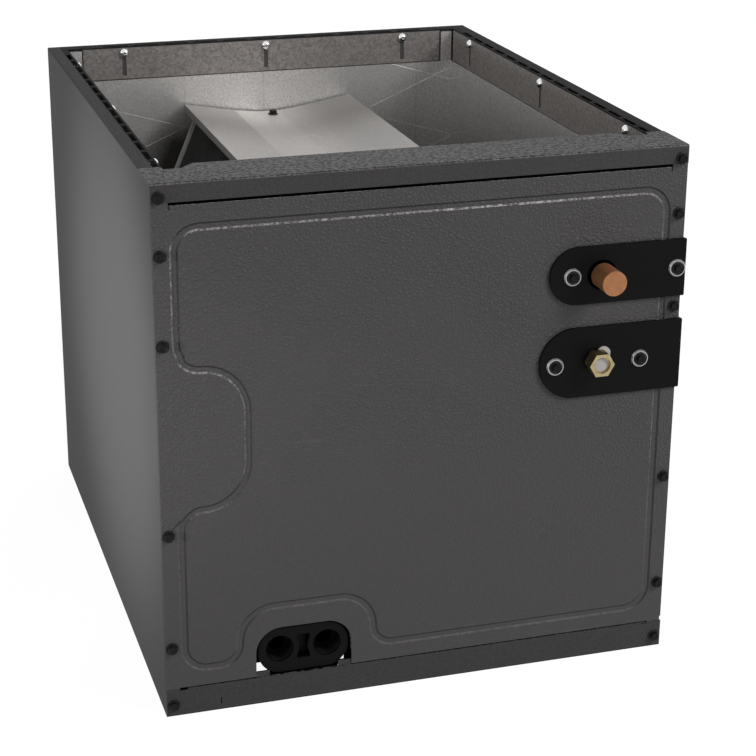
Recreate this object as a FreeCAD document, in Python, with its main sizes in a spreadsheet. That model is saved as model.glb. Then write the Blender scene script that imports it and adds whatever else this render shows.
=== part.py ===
import FreeCAD, Part
import math
import os
from types import SimpleNamespace

import Sketcher
from FreeCAD import Placement, Rotation, Vector

# Cased evaporator coil: a folded sheet-metal furnace-coil case with an embossed access panel,
# two slanted finned slabs that meet under a dished cap, a moulded drain pan and the tubing
# between them. Millimetres. X runs to the right, Y into the depth and Z up. The origin is the
# centre of the open bottom of the case, and the access panel faces -Y.

# Driving dimensions: alias, value, what it is
DIMENSIONS = [
    ("case_width", 444.5, "outside width of the case, 17 1/2 in"),
    ("case_depth", 546.1, "outside depth of the case, 21 1/2 in"),
    ("case_height", 457.2, "outside height of the case, 18 in"),
    ("gauge", 0.9, "painted sheet of the case, rails and panel"),
    ("thin_gauge", 0.7, "galvanised sheet of flanges, cap and end plates"),
    ("plate_gauge", 1.2, "galvanised sheet of the tube sheets and pan rails"),
    ("bend_radius", 2.2, "outside radius of the case's upright bends"),
    ("fit_gap", 0.3, "clearance between pieces that seat on each other"),
    ("return_width", 24.0, "front returns of the side walls"),
    ("top_flange", 18.2, "inward flange at the top, measured from outside"),
    ("bottom_flange", 20.0, "inward flange at the bottom"),
    ("slot_width", 4.3, "width of a bend-line slot in the top flange"),
    ("slot_length", 24.5, "length of a bend-line slot"),
    ("slot_web", 0.9, "metal between a slot and the lip"),
    ("slot_pitch", 31.1, "spacing of the bend-line slots"),
    ("lip_depth", 31.2, "height of the lip that hangs from the top flange"),
    ("lip_back_inset", 32.25, "ends of the rear lip from the sides"),
    ("lip_set_back", 53.0, "front end of the side lips from the front"),
    ("lip_corner_gap", 4.8, "gap between the side lips and the rear lip"),
    ("rail_face", 15.4, "front face of the top rail"),
    ("rail_top_depth", 55.0, "depth of the top rail's flange"),
    ("rail_side_depth", 49.0, "depth of the top rail over the side walls"),
    ("rail_side_width", 17.2, "width of those side ears"),
    ("rail_end_depth", 41.0, "depth of that flange at its two ends"),
    ("rail_ramp_start", 32.25, "where the flange's rear edge starts to ramp, from the sides"),
    ("rail_ramp_end", 45.25, "where the ramp ends, from the sides"),
    ("rail_lip", 8.0, "down-turned rear lip of the top rail"),
    ("base_rail_face", 25.0, "front face of the bottom rail"),
    ("base_rail_depth", 23.0, "inward flange of the bottom rail"),
    ("base_notch", 1.6, "depth of the two notches in the bottom rail's upper edge"),
    ("base_notch_width", 7.0, "width of those notches"),
    ("edge_bend", 1.6, "outside radius of the folds along the top and the rails"),
    ("seam", 0.25, "visible seam round the access panel"),
    ("foot_gap", 1.1, "dark gap under the panel's foot"),
    ("panel_gap", 2.6, "dark gap over the panel's middle"),
    ("panel_ear", 13.0, "width of the panel's top ears"),
    ("relief_width", 1.4, "corner relief beside each ear"),
    ("relief_depth", 6.0, "depth of that relief below the rail"),
    ("panel_fold", 10.0, "inward fold along the panel's top"),
    ("bead_width", 7.4, "foot of the embossed bead"),
    ("bead_crest", 3.2, "flat crest of the bead"),
    ("bead_height", 1.7, "how far the bead stands out"),
    ("bead_inset", 16.6, "bead centre line from the sides"),
    ("bead_drop", 36.0, "bead's top run below the top"),
    ("bead_bottom", 42.0, "height of the bead's bottom run"),
    ("bead_corner", 20.0, "corner radius of the bead's centre line"),
    ("bead_notch_height", 120.0, "height of the side notch in the bead"),
    ("bead_notch_depth", 60.0, "depth of the side notch"),
    ("bead_notch_share", 0.5402, "height of the notch's centre, as a share of the case's height"),
    ("bead_notch_radius", 39.0, "radius of the notch's inner corners"),
    ("bead_arch_width", 115.0, "width of the bead's arch over the drain"),
    ("bead_arch_top", 90.0, "height of the arch"),
    ("bead_arch_radius", 29.5, "radius of the arch's shoulders"),
    ("bead_arch_foot", 17.5, "radius at the arch's feet"),
    ("bead_arch_inset", 120.75, "middle of the arch from the left side"),
    ("drain_inset", 117.95, "middle of the drain opening from the left side"),
    ("drain_width", 82.6, "width of the drain opening"),
    ("drain_top", 69.5, "top of the drain opening"),
    ("drain_corner", 22.0, "top corner radius of the drain opening"),
    ("drain_sill", 30.0, "top of the bottom rail's lip beside the drain boss"),
    ("suction_inset", 72.65, "suction stub from the right side"),
    ("suction_share", 0.773, "height of the suction stub, as a share of the case's"),
    ("suction_od", 19.05, "suction line, 3/4 in"),
    ("suction_reach", 28.0, "how far the suction stub stands out of the panel"),
    ("stub_od", 20.9, "copper cap over the end of the suction stub"),
    ("liquid_inset", 75.25, "liquid connection from the right side"),
    ("liquid_share", 0.6109, "height of the liquid connection, as a share of the case's"),
    ("tube_od", 9.525, "liquid line and coil tubes, 3/8 in"),
    ("feeder_od", 4.76, "feeder tubes, 3/16 in"),
    ("capillary_od", 2.4, "capillary of the sensing bulb"),
    ("nut_flats", 19.05, "brass hexagon across its flats"),
    ("nut_length", 12.5, "length of the brass hexagon"),
    ("nut_reach", 17.0, "front of the hexagon from the panel"),
    ("plug_od", 11.6, "white plug in the liquid connection"),
    ("plug_length", 9.0, "length of the white plug"),
    ("plug_recess", 2.2, "how far the plug sits behind the hexagon's face"),
    ("fitting_mouth", 14.4, "wider mouth of the hexagon's bore"),
    ("button_od", 11.8, "white button beside the fitting"),
    ("button_right", 6.6, "button from the liquid line, to the right"),
    ("button_up", 5.6, "button from the liquid line, upwards"),
    ("line_room", 4.5, "slot in the panel wider than a line, all round"),
    ("line_plate", 2.5, "thickness of the black plates"),
    ("plate_proud", 1.75, "outer face of the plates' wrap beyond the case's side"),
    ("plate_wrap", 9.0, "how far the wrap runs back along the side"),
    ("suction_plate_reach", 118.65, "rounded end of the upper plate from the right side"),
    ("suction_plate_height", 49.5, "height of the upper plate"),
    ("suction_plate_share", 0.7736, "height of the upper plate's centre, as a share of the case's"),
    ("liquid_plate_reach", 124.85, "rounded end of the lower plate from the right side"),
    ("liquid_plate_height", 61.3, "height of the lower plate"),
    ("liquid_plate_share", 0.6081, "height of the lower plate's centre, as a share of the case's"),
    ("suction_screw_inset", 98.95, "inner screw of the upper plate from the right side"),
    ("liquid_screw_left", 111.25, "left screw of the lower plate from the right side"),
    ("liquid_screw_right", 35.45, "right screw of the lower plate from the right side"),
    ("liquid_screw_share", 0.6054, "height of the lower plate's screws, as a share of the case's"),
    ("washer_od", 15.4, "bright finishing washer"),
    ("washer_height", 1.8, "height of the finishing washer"),
    ("plate_screw_washer", 11.0, "washer face of a plate screw"),
    ("screw_od", 4.2, "shank of every screw"),
    ("screw_inset", 6.05, "columns of case screws from the sides"),
    ("screw_top_inset", 11.0, "top rail screws below the top"),
    ("screw_base", 10.7, "bottom rail screws above the base"),
    ("screw_upper_drop", 57.4, "upper panel screws below the top"),
    ("screw_left_share", 0.7146, "middle panel screw on the left, as a share of the case's height"),
    ("screw_right_share", 0.699, "middle panel screw on the right, as a share of the case's height"),
    ("screw_lower_share", 0.3602, "lower panel screws, as a share of the case's height"),
    ("screw_foot", 63.3, "panel screws beside the drain"),
    ("hole_clearance", 0.15, "clearance round a screw or a tube"),
    ("head_washer_od", 10.6, "washer face of a hexagon screw head"),
    ("head_flats", 7.0, "hexagon of a screw head across its flats"),
    ("head_height", 4.2, "height of a screw head"),
    ("insulation", 19.05, "foil-faced liner, 3/4 in"),
    ("panel_insulation", 12.7, "liner on the access panel, 1/2 in"),
    ("insulation_drop", 33.6, "top of the liner below the case's top"),
    ("strip_height", 31.4, "height of a duct flange"),
    ("strip_drop", 32.7, "foot of the duct flanges below the case's top"),
    ("strip_end", 25.55, "what the side duct flanges leave free of the case's depth, at each end"),
    ("strip_shift", 3.5, "middle of the side duct flanges along Y"),
    ("strip_slot_width", 4.2, "clamping slot of a duct flange"),
    ("strip_slot_height", 26.0, "length of a clamping slot"),
    ("strip_screw_drop", 6.3, "clamping screws below the case's top"),
    ("strip_screw_od", 9.6, "head of a clamping screw"),
    ("strip_screw_end", 78.55, "outer clamping screws of a side from the front and the rear"),
    ("strip_screw_inset", 74.65, "outer clamping screws of the rear from the sides"),
    ("slab_angle", 67.0, "lean of a slab from the horizontal"),
    ("slab_foot_inset", 26.15, "outer lower corner of a slab from the sides"),
    ("slab_foot_z", 109.93, "outer lower corner of a slab above the base"),
    ("slab_headroom", 64.0, "least height over the slabs below the case's top"),
    ("tube_pitch", 25.4, "spacing of the tubes along a slab"),
    ("row_pitch", 22.0, "spacing of the two tube rows"),
    ("coil_front_room", 83.05, "front end of the fins from the case's front"),
    ("coil_rear_room", 47.05, "rear end of the fins from the case's rear"),
    ("fin_groove", 5.0, "depth of the gaps drawn between fins"),
    ("fin_pitch", 8.0, "spacing of the gaps drawn between fins"),
    ("fin_gap", 3.0, "width of a gap drawn between fins"),
    ("sheet_overhang", 3.5, "tube sheet beyond the fins' outer face"),
    ("bend_stub", 1.5, "straight end of a return bend"),
    ("cap_over", 11.0, "side edges of the coil cap beyond the slabs"),
    ("cap_rear_room", 24.05, "rear end of the cap from the case's rear"),
    ("cap_edge_rise", 4.9, "cap's outer edges above the slabs"),
    ("cap_fold_x", 36.0, "folds of the cap from the centre"),
    ("cap_fold_drop", 4.3, "folds of the cap below the slabs' top"),
    ("cap_valley_x", 11.0, "half width of the cap's flat valley"),
    ("cap_valley_drop", 7.5, "valley of the cap below the slabs' top"),
    ("cap_flange", 7.5, "side flanges that hang from the cap"),
    ("cap_screw_x", 1.6, "cap screw from the middle"),
    ("cap_screw_back", 5.8, "cap screw behind the rear end plate"),
    ("delta_flange", 12.0, "rearward flange of the rear end plate under the cap"),
    ("delta_flange_width", 60.0, "width of that flange"),
    ("delta_overlap", 5.0, "end plate's overlap on the tube sheets"),
    ("pan_side_gap", 21.05, "sides of the drain pan from the case's sides"),
    ("pan_front_gap", 16.55, "front of the drain pan from the case's front"),
    ("pan_rear_gap", 21.55, "back of the drain pan from the case's rear"),
    ("pan_base", 32.0, "underside of the drain pan"),
    ("pan_rim", 110.0, "rim of the drain pan"),
    ("pan_wall", 2.8, "wall of the drain pan"),
    ("pan_floor", 3.5, "floor of the drain pan"),
    ("pan_corner", 8.0, "corner radius of the drain pan"),
    ("pan_side_trough", 53.2, "width of the side troughs of the pan"),
    ("pan_front_trough", 73.5, "width of the front trough"),
    ("pan_rear_trough", 32.5, "width of the rear trough"),
    ("pan_upstand", 84.0, "height of the wall round the air opening"),
    ("rib_thickness", 3.0, "thickness of a pan rib"),
    ("rib_count", 7, "ribs under each slab"),
    ("boss_face", 2.5, "how far the drain boss sits behind the panel face"),
    ("boss_width", 77.5, "width of the drain boss"),
    ("boss_rise", 19.0, "half the height of the drain boss and radius of its ends"),
    ("boss_drop", 2.9, "how much further the boss reaches down"),
    ("boss_z", 48.2, "height of the drain sockets"),
    ("socket_pitch", 41.0, "spacing of the two drain sockets"),
    ("socket_bore", 24.0, "bore of a drain socket, 3/4 in pipe"),
    ("socket_depth", 14.0, "depth of a drain socket"),
    ("outlet_bore", 16.0, "hole from a socket into the trough"),
    ("recess_width", 11.0, "recess between the sockets"),
    ("recess_height", 22.0, "height of that recess"),
    ("recess_depth", 8.0, "depth of that recess"),
    ("ledge", 30.0, "ledge of a pan rail"),
    ("header_inset", 36.25, "suction header from the right side"),
    ("header_back", 50.05, "suction header and its branches behind the front"),
    ("header_tail", 15.0, "closed foot of the suction header below its lowest branch"),
    ("header_bend", 17.5, "bend radius of the header's elbows"),
    ("liquid_back", 27.05, "plane of the liquid line and valve behind the front"),
    ("valve_offset", 17.0, "inlet face of the expansion valve from the liquid line"),
    ("valve_neck", 16.0, "neck under the valve's diaphragm head"),
    ("valve_length", 30.0, "length of the expansion valve"),
    ("valve_od", 18.0, "barrel of the expansion valve"),
    ("distributor_length", 18.0, "length of the distributor"),
    ("distributor_od", 24.0, "outlet face of the distributor"),
    ("power_head_od", 25.0, "diaphragm head of the valve"),
    ("bulb_od", 12.0, "sensing bulb"),
    ("bulb_length", 50.0, "length of the sensing bulb"),
    ("bulb_rise", 65.0, "foot of the sensing bulb above the header's"),
]

doc = FreeCAD.newDocument("cased_evaporator_coil")
dims = doc.addObject("Spreadsheet::Sheet", "dims")
for row, (alias, value, note) in enumerate(DIMENSIONS, start=1):
    dims.set(f"A{row}", alias)
    dims.set(f"B{row}", str(value))
    dims.setAlias(f"B{row}", alias)
    dims.set(f"C{row}", note)
doc.recompute()


# Sizes that carry both a number and the sheet expression it comes from

class Size:
    """A length with its present value and the sheet expression that it follows."""

    def __init__(self, value, text):
        self.value = float(value)
        self.text = text

    def __add__(self, other):
        other = sized(other)
        return Size(self.value + other.value, f"({self.text} + {other.text})")

    def __sub__(self, other):
        other = sized(other)
        return Size(self.value - other.value, f"({self.text} - {other.text})")

    def __mul__(self, other):
        other = sized(other)
        return Size(self.value * other.value, f"({self.text} * {other.text})")

    def __truediv__(self, other):
        other = sized(other)
        return Size(self.value / other.value, f"({self.text} / {other.text})")

    def __neg__(self):
        return Size(-self.value, f"(-1 * {self.text})")

    def __rsub__(self, other):
        return sized(other) - self

    __radd__ = __add__
    __rmul__ = __mul__


def sized(number):
    """Take a plain number or a Size and return a Size."""
    if isinstance(number, Size):
        return number
    return Size(number, f"({float(number)})")


def cosine(angle):
    """Cosine of an angle given in degrees."""
    return Size(math.cos(math.radians(angle.value)), f"cos({angle.text} * 1 deg)")


def sine(angle):
    """Sine of an angle given in degrees."""
    return Size(math.sin(math.radians(angle.value)), f"sin({angle.text} * 1 deg)")


d = SimpleNamespace(**{alias: Size(dims.get(alias), f"dims.{alias}") for alias, _, _ in DIMENSIONS})

# Places that follow the sides, the ends and the top of the case
half_width = d.case_width / 2
front = -d.case_depth / 2
rear = d.case_depth / 2
top = d.case_height
d.lip_back_span = d.case_width - 2 * d.lip_back_inset
d.bead_top = top - d.bead_drop
d.bead_notch_centre = top * d.bead_notch_share
d.suction_z = top * d.suction_share
d.liquid_z = top * d.liquid_share
d.suction_plate_z = top * d.suction_plate_share
d.liquid_plate_z = top * d.liquid_plate_share
d.liquid_screw_z = top * d.liquid_screw_share
d.screw_middle_left = top * d.screw_left_share
d.screw_middle_right = top * d.screw_right_share
d.screw_lower = top * d.screw_lower_share
d.bead_arch_centre = d.bead_arch_inset - half_width
d.drain_centre = d.drain_inset - half_width
d.suction_x = half_width - d.suction_inset
d.liquid_x = half_width - d.liquid_inset
d.plate_right = half_width + d.plate_proud
d.suction_plate_left = half_width - d.suction_plate_reach
d.liquid_plate_left = half_width - d.liquid_plate_reach
d.screw_upper = top - d.screw_upper_drop
d.insulation_top = top - d.insulation_drop
d.strip_foot = top - d.strip_drop
d.strip_screw_z = top - d.strip_screw_drop
d.pan_half = half_width - d.pan_side_gap
d.pan_front = front + d.pan_front_gap
d.pan_back = rear - d.pan_rear_gap
d.pan_open_half = d.pan_half - d.pan_side_trough
d.pan_open_front = d.pan_front + d.pan_front_trough
d.pan_open_back = d.pan_back - d.pan_rear_trough
d.coil_front = front + d.coil_front_room
d.coil_back = rear - d.coil_rear_room
d.cap_rear = rear - d.cap_rear_room
d.header_x = half_width - d.header_inset
d.header_y = front + d.header_back
d.liquid_y = front + d.liquid_back
d.valve_start = d.liquid_x - d.valve_offset

# The slabs stand on the pan and take as many pairs of tubes as the case's height has room for
lean_x = cosine(d.slab_angle)
lean_z = sine(d.slab_angle)
slab_room = (top - d.slab_headroom - d.slab_foot_z).value / lean_z.value
tube_count = 2 * int(slab_room / (2 * d.tube_pitch.value))
middle_tube = 2 * math.ceil(tube_count / 4)
slab_length = d.tube_pitch * tube_count
d.slab_top_x = half_width - d.slab_foot_inset - lean_x * slab_length
d.slab_top_z = d.slab_foot_z + lean_z * slab_length
d.cap_half = d.slab_top_x + d.cap_over
d.cap_edge_z = d.slab_top_z + d.cap_edge_rise
d.cap_fold_z = d.slab_top_z - d.cap_fold_drop
d.cap_valley_z = d.slab_top_z - d.cap_valley_drop


# Sketches, pads and pockets

def plane_of(body, role):
    """One of the body's own origin planes or axes."""
    return next(item for item in body.Origin.OriginFeatures if item.Role == role)


def new_body(label):
    body = doc.addObject("PartDesign::Body", label)
    body.Label = label
    return body


def rect(x0, y0, x1, y1):
    """Corners of a rectangle."""
    return [(x0, y0), (x1, y0), (x1, y1), (x0, y1)]


def round_rect(x0, y0, x1, y1, radius):
    """Corners of a rectangle with one corner radius."""
    return [(x0, y0, radius), (x1, y0, radius), (x1, y1, radius), (x0, y1, radius)]


def way(start, end):
    """Unit steps (-1, 0 or 1) along X and Y from one corner to another on a square outline."""
    dx = end[0].value - start[0].value
    dy = end[1].value - start[1].value
    return (abs(dx) > 1e-6) * math.copysign(1, dx), (abs(dy) > 1e-6) * math.copysign(1, dy)


def pieces_of(points):
    """Turn corners, some with a radius, into lines and quarter arcs in order."""
    corners = [tuple(sized(part) for part in point) for point in points]
    stops = []
    for k, corner in enumerate(corners):
        if len(corner) < 3:
            stops.append((corner, corner, None))
            continue
        x, y, radius = corner
        back = way(corner, corners[k - 1])
        onward = way(corner, corners[(k + 1) % len(corners)])
        entry = (x + radius * back[0], y + radius * back[1])
        leave = (x + radius * onward[0], y + radius * onward[1])
        centre = (entry[0] + radius * onward[0], entry[1] + radius * onward[1])
        stops.append((entry, leave, (centre, radius)))
    pieces = []
    for k, (entry, leave, arc) in enumerate(stops):
        if arc:
            pieces.append((entry, leave, arc))
        following = stops[(k + 1) % len(stops)][0]
        run = math.hypot(following[0].value - leave[0].value, following[1].value - leave[1].value)
        if run > 1e-6:
            pieces.append((leave, following, None))
    return pieces


def hold(sketch, geometry, position, point):
    """Tie one point of a sketch to its sheet expressions."""
    for kind, size in (("DistanceX", point[0]), ("DistanceY", point[1])):
        index = sketch.addConstraint(Sketcher.Constraint(kind, geometry, position, size.value))
        sketch.setExpression(f"Constraints[{index}]", size.text)


def hold_radius(sketch, geometry, radius):
    index = sketch.addConstraint(Sketcher.Constraint("Radius", geometry, radius.value))
    sketch.setExpression(f"Constraints[{index}]", radius.text)


def draw_loop(sketch, points):
    """Draw one closed outline and tie every corner to the sheet."""
    ends = []
    for start, end, arc in pieces_of(points):
        first, last = (Vector(p[0].value, p[1].value, 0) for p in (start, end))
        if arc is None:
            geometry = sketch.addGeometry(Part.LineSegment(first, last), False)
            ends.append((geometry, 1, 2, start, None))
            continue
        centre = Vector(arc[0][0].value, arc[0][1].value, 0)
        turn = (first - centre).cross(last - centre).z > 0
        begin, stop = (first, last) if turn else (last, first)
        angles = [math.atan2(p.y - centre.y, p.x - centre.x) for p in (begin, stop)]
        circle = Part.Circle(centre, Vector(0, 0, 1), arc[1].value)
        geometry = sketch.addGeometry(Part.ArcOfCircle(circle, angles[0], angles[1]), False)
        ends.append((geometry, 1, 2, start, arc[1]) if turn else (geometry, 2, 1, start, arc[1]))
    for k, (geometry, first, last, start, radius) in enumerate(ends):
        following = ends[(k + 1) % len(ends)]
        sketch.addConstraint(Sketcher.Constraint("Coincident", geometry, last, following[0], following[1]))
        hold(sketch, geometry, first, start)
        if radius is not None:
            hold_radius(sketch, geometry, radius)


def sketch_on(body, role, loops, offset, circles=()):
    """A sketch on one of the body's origin planes, moved along the plane's normal."""
    sketch = body.newObject("Sketcher::SketchObject", "Sketch")
    sketch.AttachmentSupport = [(plane_of(body, role), "")]
    sketch.MapMode = "FlatFace"
    sketch.setExpression("AttachmentOffset.Base.z", sized(offset).text)
    for points in loops:
        draw_loop(sketch, points)
    for x, y, radius in circles:
        x, y, radius = sized(x), sized(y), sized(radius)
        circle = Part.Circle(Vector(x.value, y.value, 0), Vector(0, 0, 1), radius.value)
        geometry = sketch.addGeometry(circle, False)
        hold(sketch, geometry, 3, (x, y))
        hold_radius(sketch, geometry, radius)
    return sketch


def fill(body, role, loops, start, end, circles=()):
    """Pad an outline between two planes. The XZ plane's normal points to -Y."""
    start, end = sized(start), sized(end)
    offset = -end if role == "XZ_Plane" else start
    pad = body.newObject("PartDesign::Pad", "Pad")
    pad.Profile = sketch_on(body, role, loops, offset, circles)
    pad.setExpression("Length", (end - start).text)
    body.Tip = pad
    return pad


def cut(body, role, loops, start, end, circles=()):
    """Pocket an outline between two planes."""
    start, end = sized(start), sized(end)
    offset = -start if role == "XZ_Plane" else end
    pocket = body.newObject("PartDesign::Pocket", "Pocket")
    pocket.Profile = sketch_on(body, role, loops, offset, circles)
    pocket.setExpression("Length", (end - start).text)
    body.Tip = pocket
    return pocket


def repeat(body, feature, axis, count, length):
    """Repeat a feature along one of the body's axes."""
    pattern = body.newObject("PartDesign::LinearPattern", "LinearPattern")
    pattern.Originals = [feature]
    pattern.Direction = (plane_of(body, axis), [""])
    pattern.Occurrences = count
    pattern.setExpression("Length", sized(length).text)
    body.Tip = pattern
    return pattern


# Part primitives with their sizes and places tied to the sheet

def place(item, x, y, z, turn=None):
    """Stand a primitive at a point, turned as given, and tie the point to the sheet."""
    x, y, z = sized(x), sized(y), sized(z)
    item.Placement = Placement(Vector(x.value, y.value, z.value), turn or Rotation())
    for axis, size in (("x", x), ("y", y), ("z", z)):
        item.setExpression(f"Placement.Base.{axis}", size.text)
    return item


def cylinder(label, radius, length, x, y, z, turn=None):
    item = doc.addObject("Part::Cylinder", label)
    item.setExpression("Radius", sized(radius).text)
    item.setExpression("Height", sized(length).text)
    return place(item, x, y, z, turn)


def cone(label, radius, end_radius, length, x, y, z, turn=None):
    item = doc.addObject("Part::Cone", label)
    item.setExpression("Radius1", sized(radius).text)
    item.setExpression("Radius2", sized(end_radius).text)
    item.setExpression("Height", sized(length).text)
    return place(item, x, y, z, turn)


def hexagon(label, flats, length, x, y, z, turn=None):
    item = doc.addObject("Part::Prism", label)
    item.Polygon = 6
    item.setExpression("Circumradius", (sized(flats) / (2 * math.cos(math.pi / 6))).text)
    item.setExpression("Height", sized(length).text)
    return place(item, x, y, z, turn)


def fused(label, members):
    item = doc.addObject("Part::MultiFuse", label)
    item.Shapes = members
    return item


def minus(label, base, tool):
    item = doc.addObject("Part::Cut", label)
    item.Base = base
    item.Tool = tool
    return item


def grouped(label, members):
    """Separate solids that share one node."""
    item = doc.addObject("Part::Compound", label)
    item.Links = members
    return item


def scattered(label, source, places):
    """Copies of one fastener at several places, as separate solids in one node."""
    doc.recompute()
    copies = []
    for point, turn in places:
        copy = source.Shape.copy()
        copy.Placement = Placement(Vector(*(sized(part).value for part in point)), turn)
        copies.append(copy)
    item = doc.addObject("Part::Feature", label)
    item.Shape = Part.makeCompound(copies)
    return item


def route(points, bend):
    """Straight runs joined by tangent arcs of one radius."""
    edges = []
    last = points[0]
    for k in range(1, len(points) - 1):
        back = (points[k - 1] - points[k]).normalize()
        onward = (points[k + 1] - points[k]).normalize()
        half_turn = (math.pi - back.getAngle(onward)) / 2
        reach = bend * math.tan(half_turn)
        start = points[k] + back * reach
        end = points[k] + onward * reach
        inward = (back + onward).normalize()
        middle = points[k] + inward * (bend / math.cos(half_turn) - bend)
        if (start - last).Length > 1e-5:
            edges.append(Part.LineSegment(last, start).toShape())
        edges.append(Part.Arc(start, middle, end).toShape())
        last = end
    if (points[-1] - last).Length > 1e-5:
        edges.append(Part.LineSegment(last, points[-1]).toShape())
    return Part.Wire(edges)


def tube(label, points, bend, diameter):
    """A round tube swept along a route of Sizes."""
    corners = [Vector(*(sized(part).value for part in point)) for point in points]
    path = doc.addObject("Part::Feature", f"{label}_path")
    path.Shape = route(corners, sized(bend).value)
    ring = doc.addObject("Part::Circle", f"{label}_section")
    ring.setExpression("Radius", (sized(diameter) / 2).text)
    ring.Placement = Placement(corners[0], Rotation(Vector(0, 0, 1), corners[1] - corners[0]))
    item = doc.addObject("Part::Sweep", label)
    item.Sections = [ring]
    item.Spine = (path, [f"Edge{k + 1}" for k in range(len(path.Shape.Edges))])
    item.Solid = True
    item.Frenet = False
    return item


# Turns that point a primitive's own +Z along a world axis
TO_FRONT = Rotation(Vector(1, 0, 0), 90)
TO_REAR = Rotation(Vector(1, 0, 0), -90)
TO_RIGHT = Rotation(Vector(0, 1, 0), 90)
TO_LEFT = Rotation(Vector(0, 1, 0), -90)

# Planes and places that several pieces share
panel_back = front + d.gauge
liner_face = half_width - d.gauge - d.insulation
liner_rear = rear - d.gauge - d.insulation
rim_x = half_width - d.top_flange
rim_rear = rear - d.top_flange
lip_low = top - d.lip_depth
lip_front = front + d.lip_set_back
lip_rear = rim_rear - d.lip_corner_gap
rail_low = top - d.rail_face
panel_low = d.base_rail_face + d.seam
panel_x = half_width - 0.35
ear_x = panel_x - d.panel_ear
screw_x = half_width - d.screw_inset
screw_hole = d.screw_od / 2 + d.hole_clearance
left_screws = [d.screw_upper, d.screw_middle_left, d.screw_lower, d.screw_foot]
right_screws = [d.screw_upper, d.screw_middle_right, d.screw_lower, d.screw_foot]
rail_screws = [top - d.screw_top_inset, d.screw_base]
plate_screws = [(half_width - d.suction_screw_inset, d.suction_z), (screw_x, d.suction_z),
                (half_width - d.liquid_screw_left, d.liquid_screw_z),
                (half_width - d.liquid_screw_right, d.liquid_screw_z)]
strip_screw_side = rear - d.strip_screw_end
strip_screw_back = half_width - d.strip_screw_inset
strip_screws_y = [d.strip_shift - strip_screw_side, d.strip_shift, d.strip_shift + strip_screw_side]
strip_screws_x = [-strip_screw_back, sized(0), strip_screw_back]


# The case: one wrapped sheet, two rails and the access panel

def u_frame(outer_x, outer_y, front_y, inner_x, inner_y, radius):
    """Plan of a flange round the sides and the back."""
    return [(-outer_x, front_y), (-outer_x, outer_y, radius), (outer_x, outer_y, radius), (outer_x, front_y),
            (inner_x, front_y), (inner_x, inner_y), (-inner_x, inner_y), (-inner_x, front_y)]


def folded_edge(across, up, sign):
    """What a fold's round takes off a square upper edge."""
    soft = d.edge_bend
    return [(across - sign * soft, up + 1), (across - sign * soft, up), (across, up, soft),
            (across, up - soft), (across + sign * 1, up - soft), (across + sign * 1, up + 1)]


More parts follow.
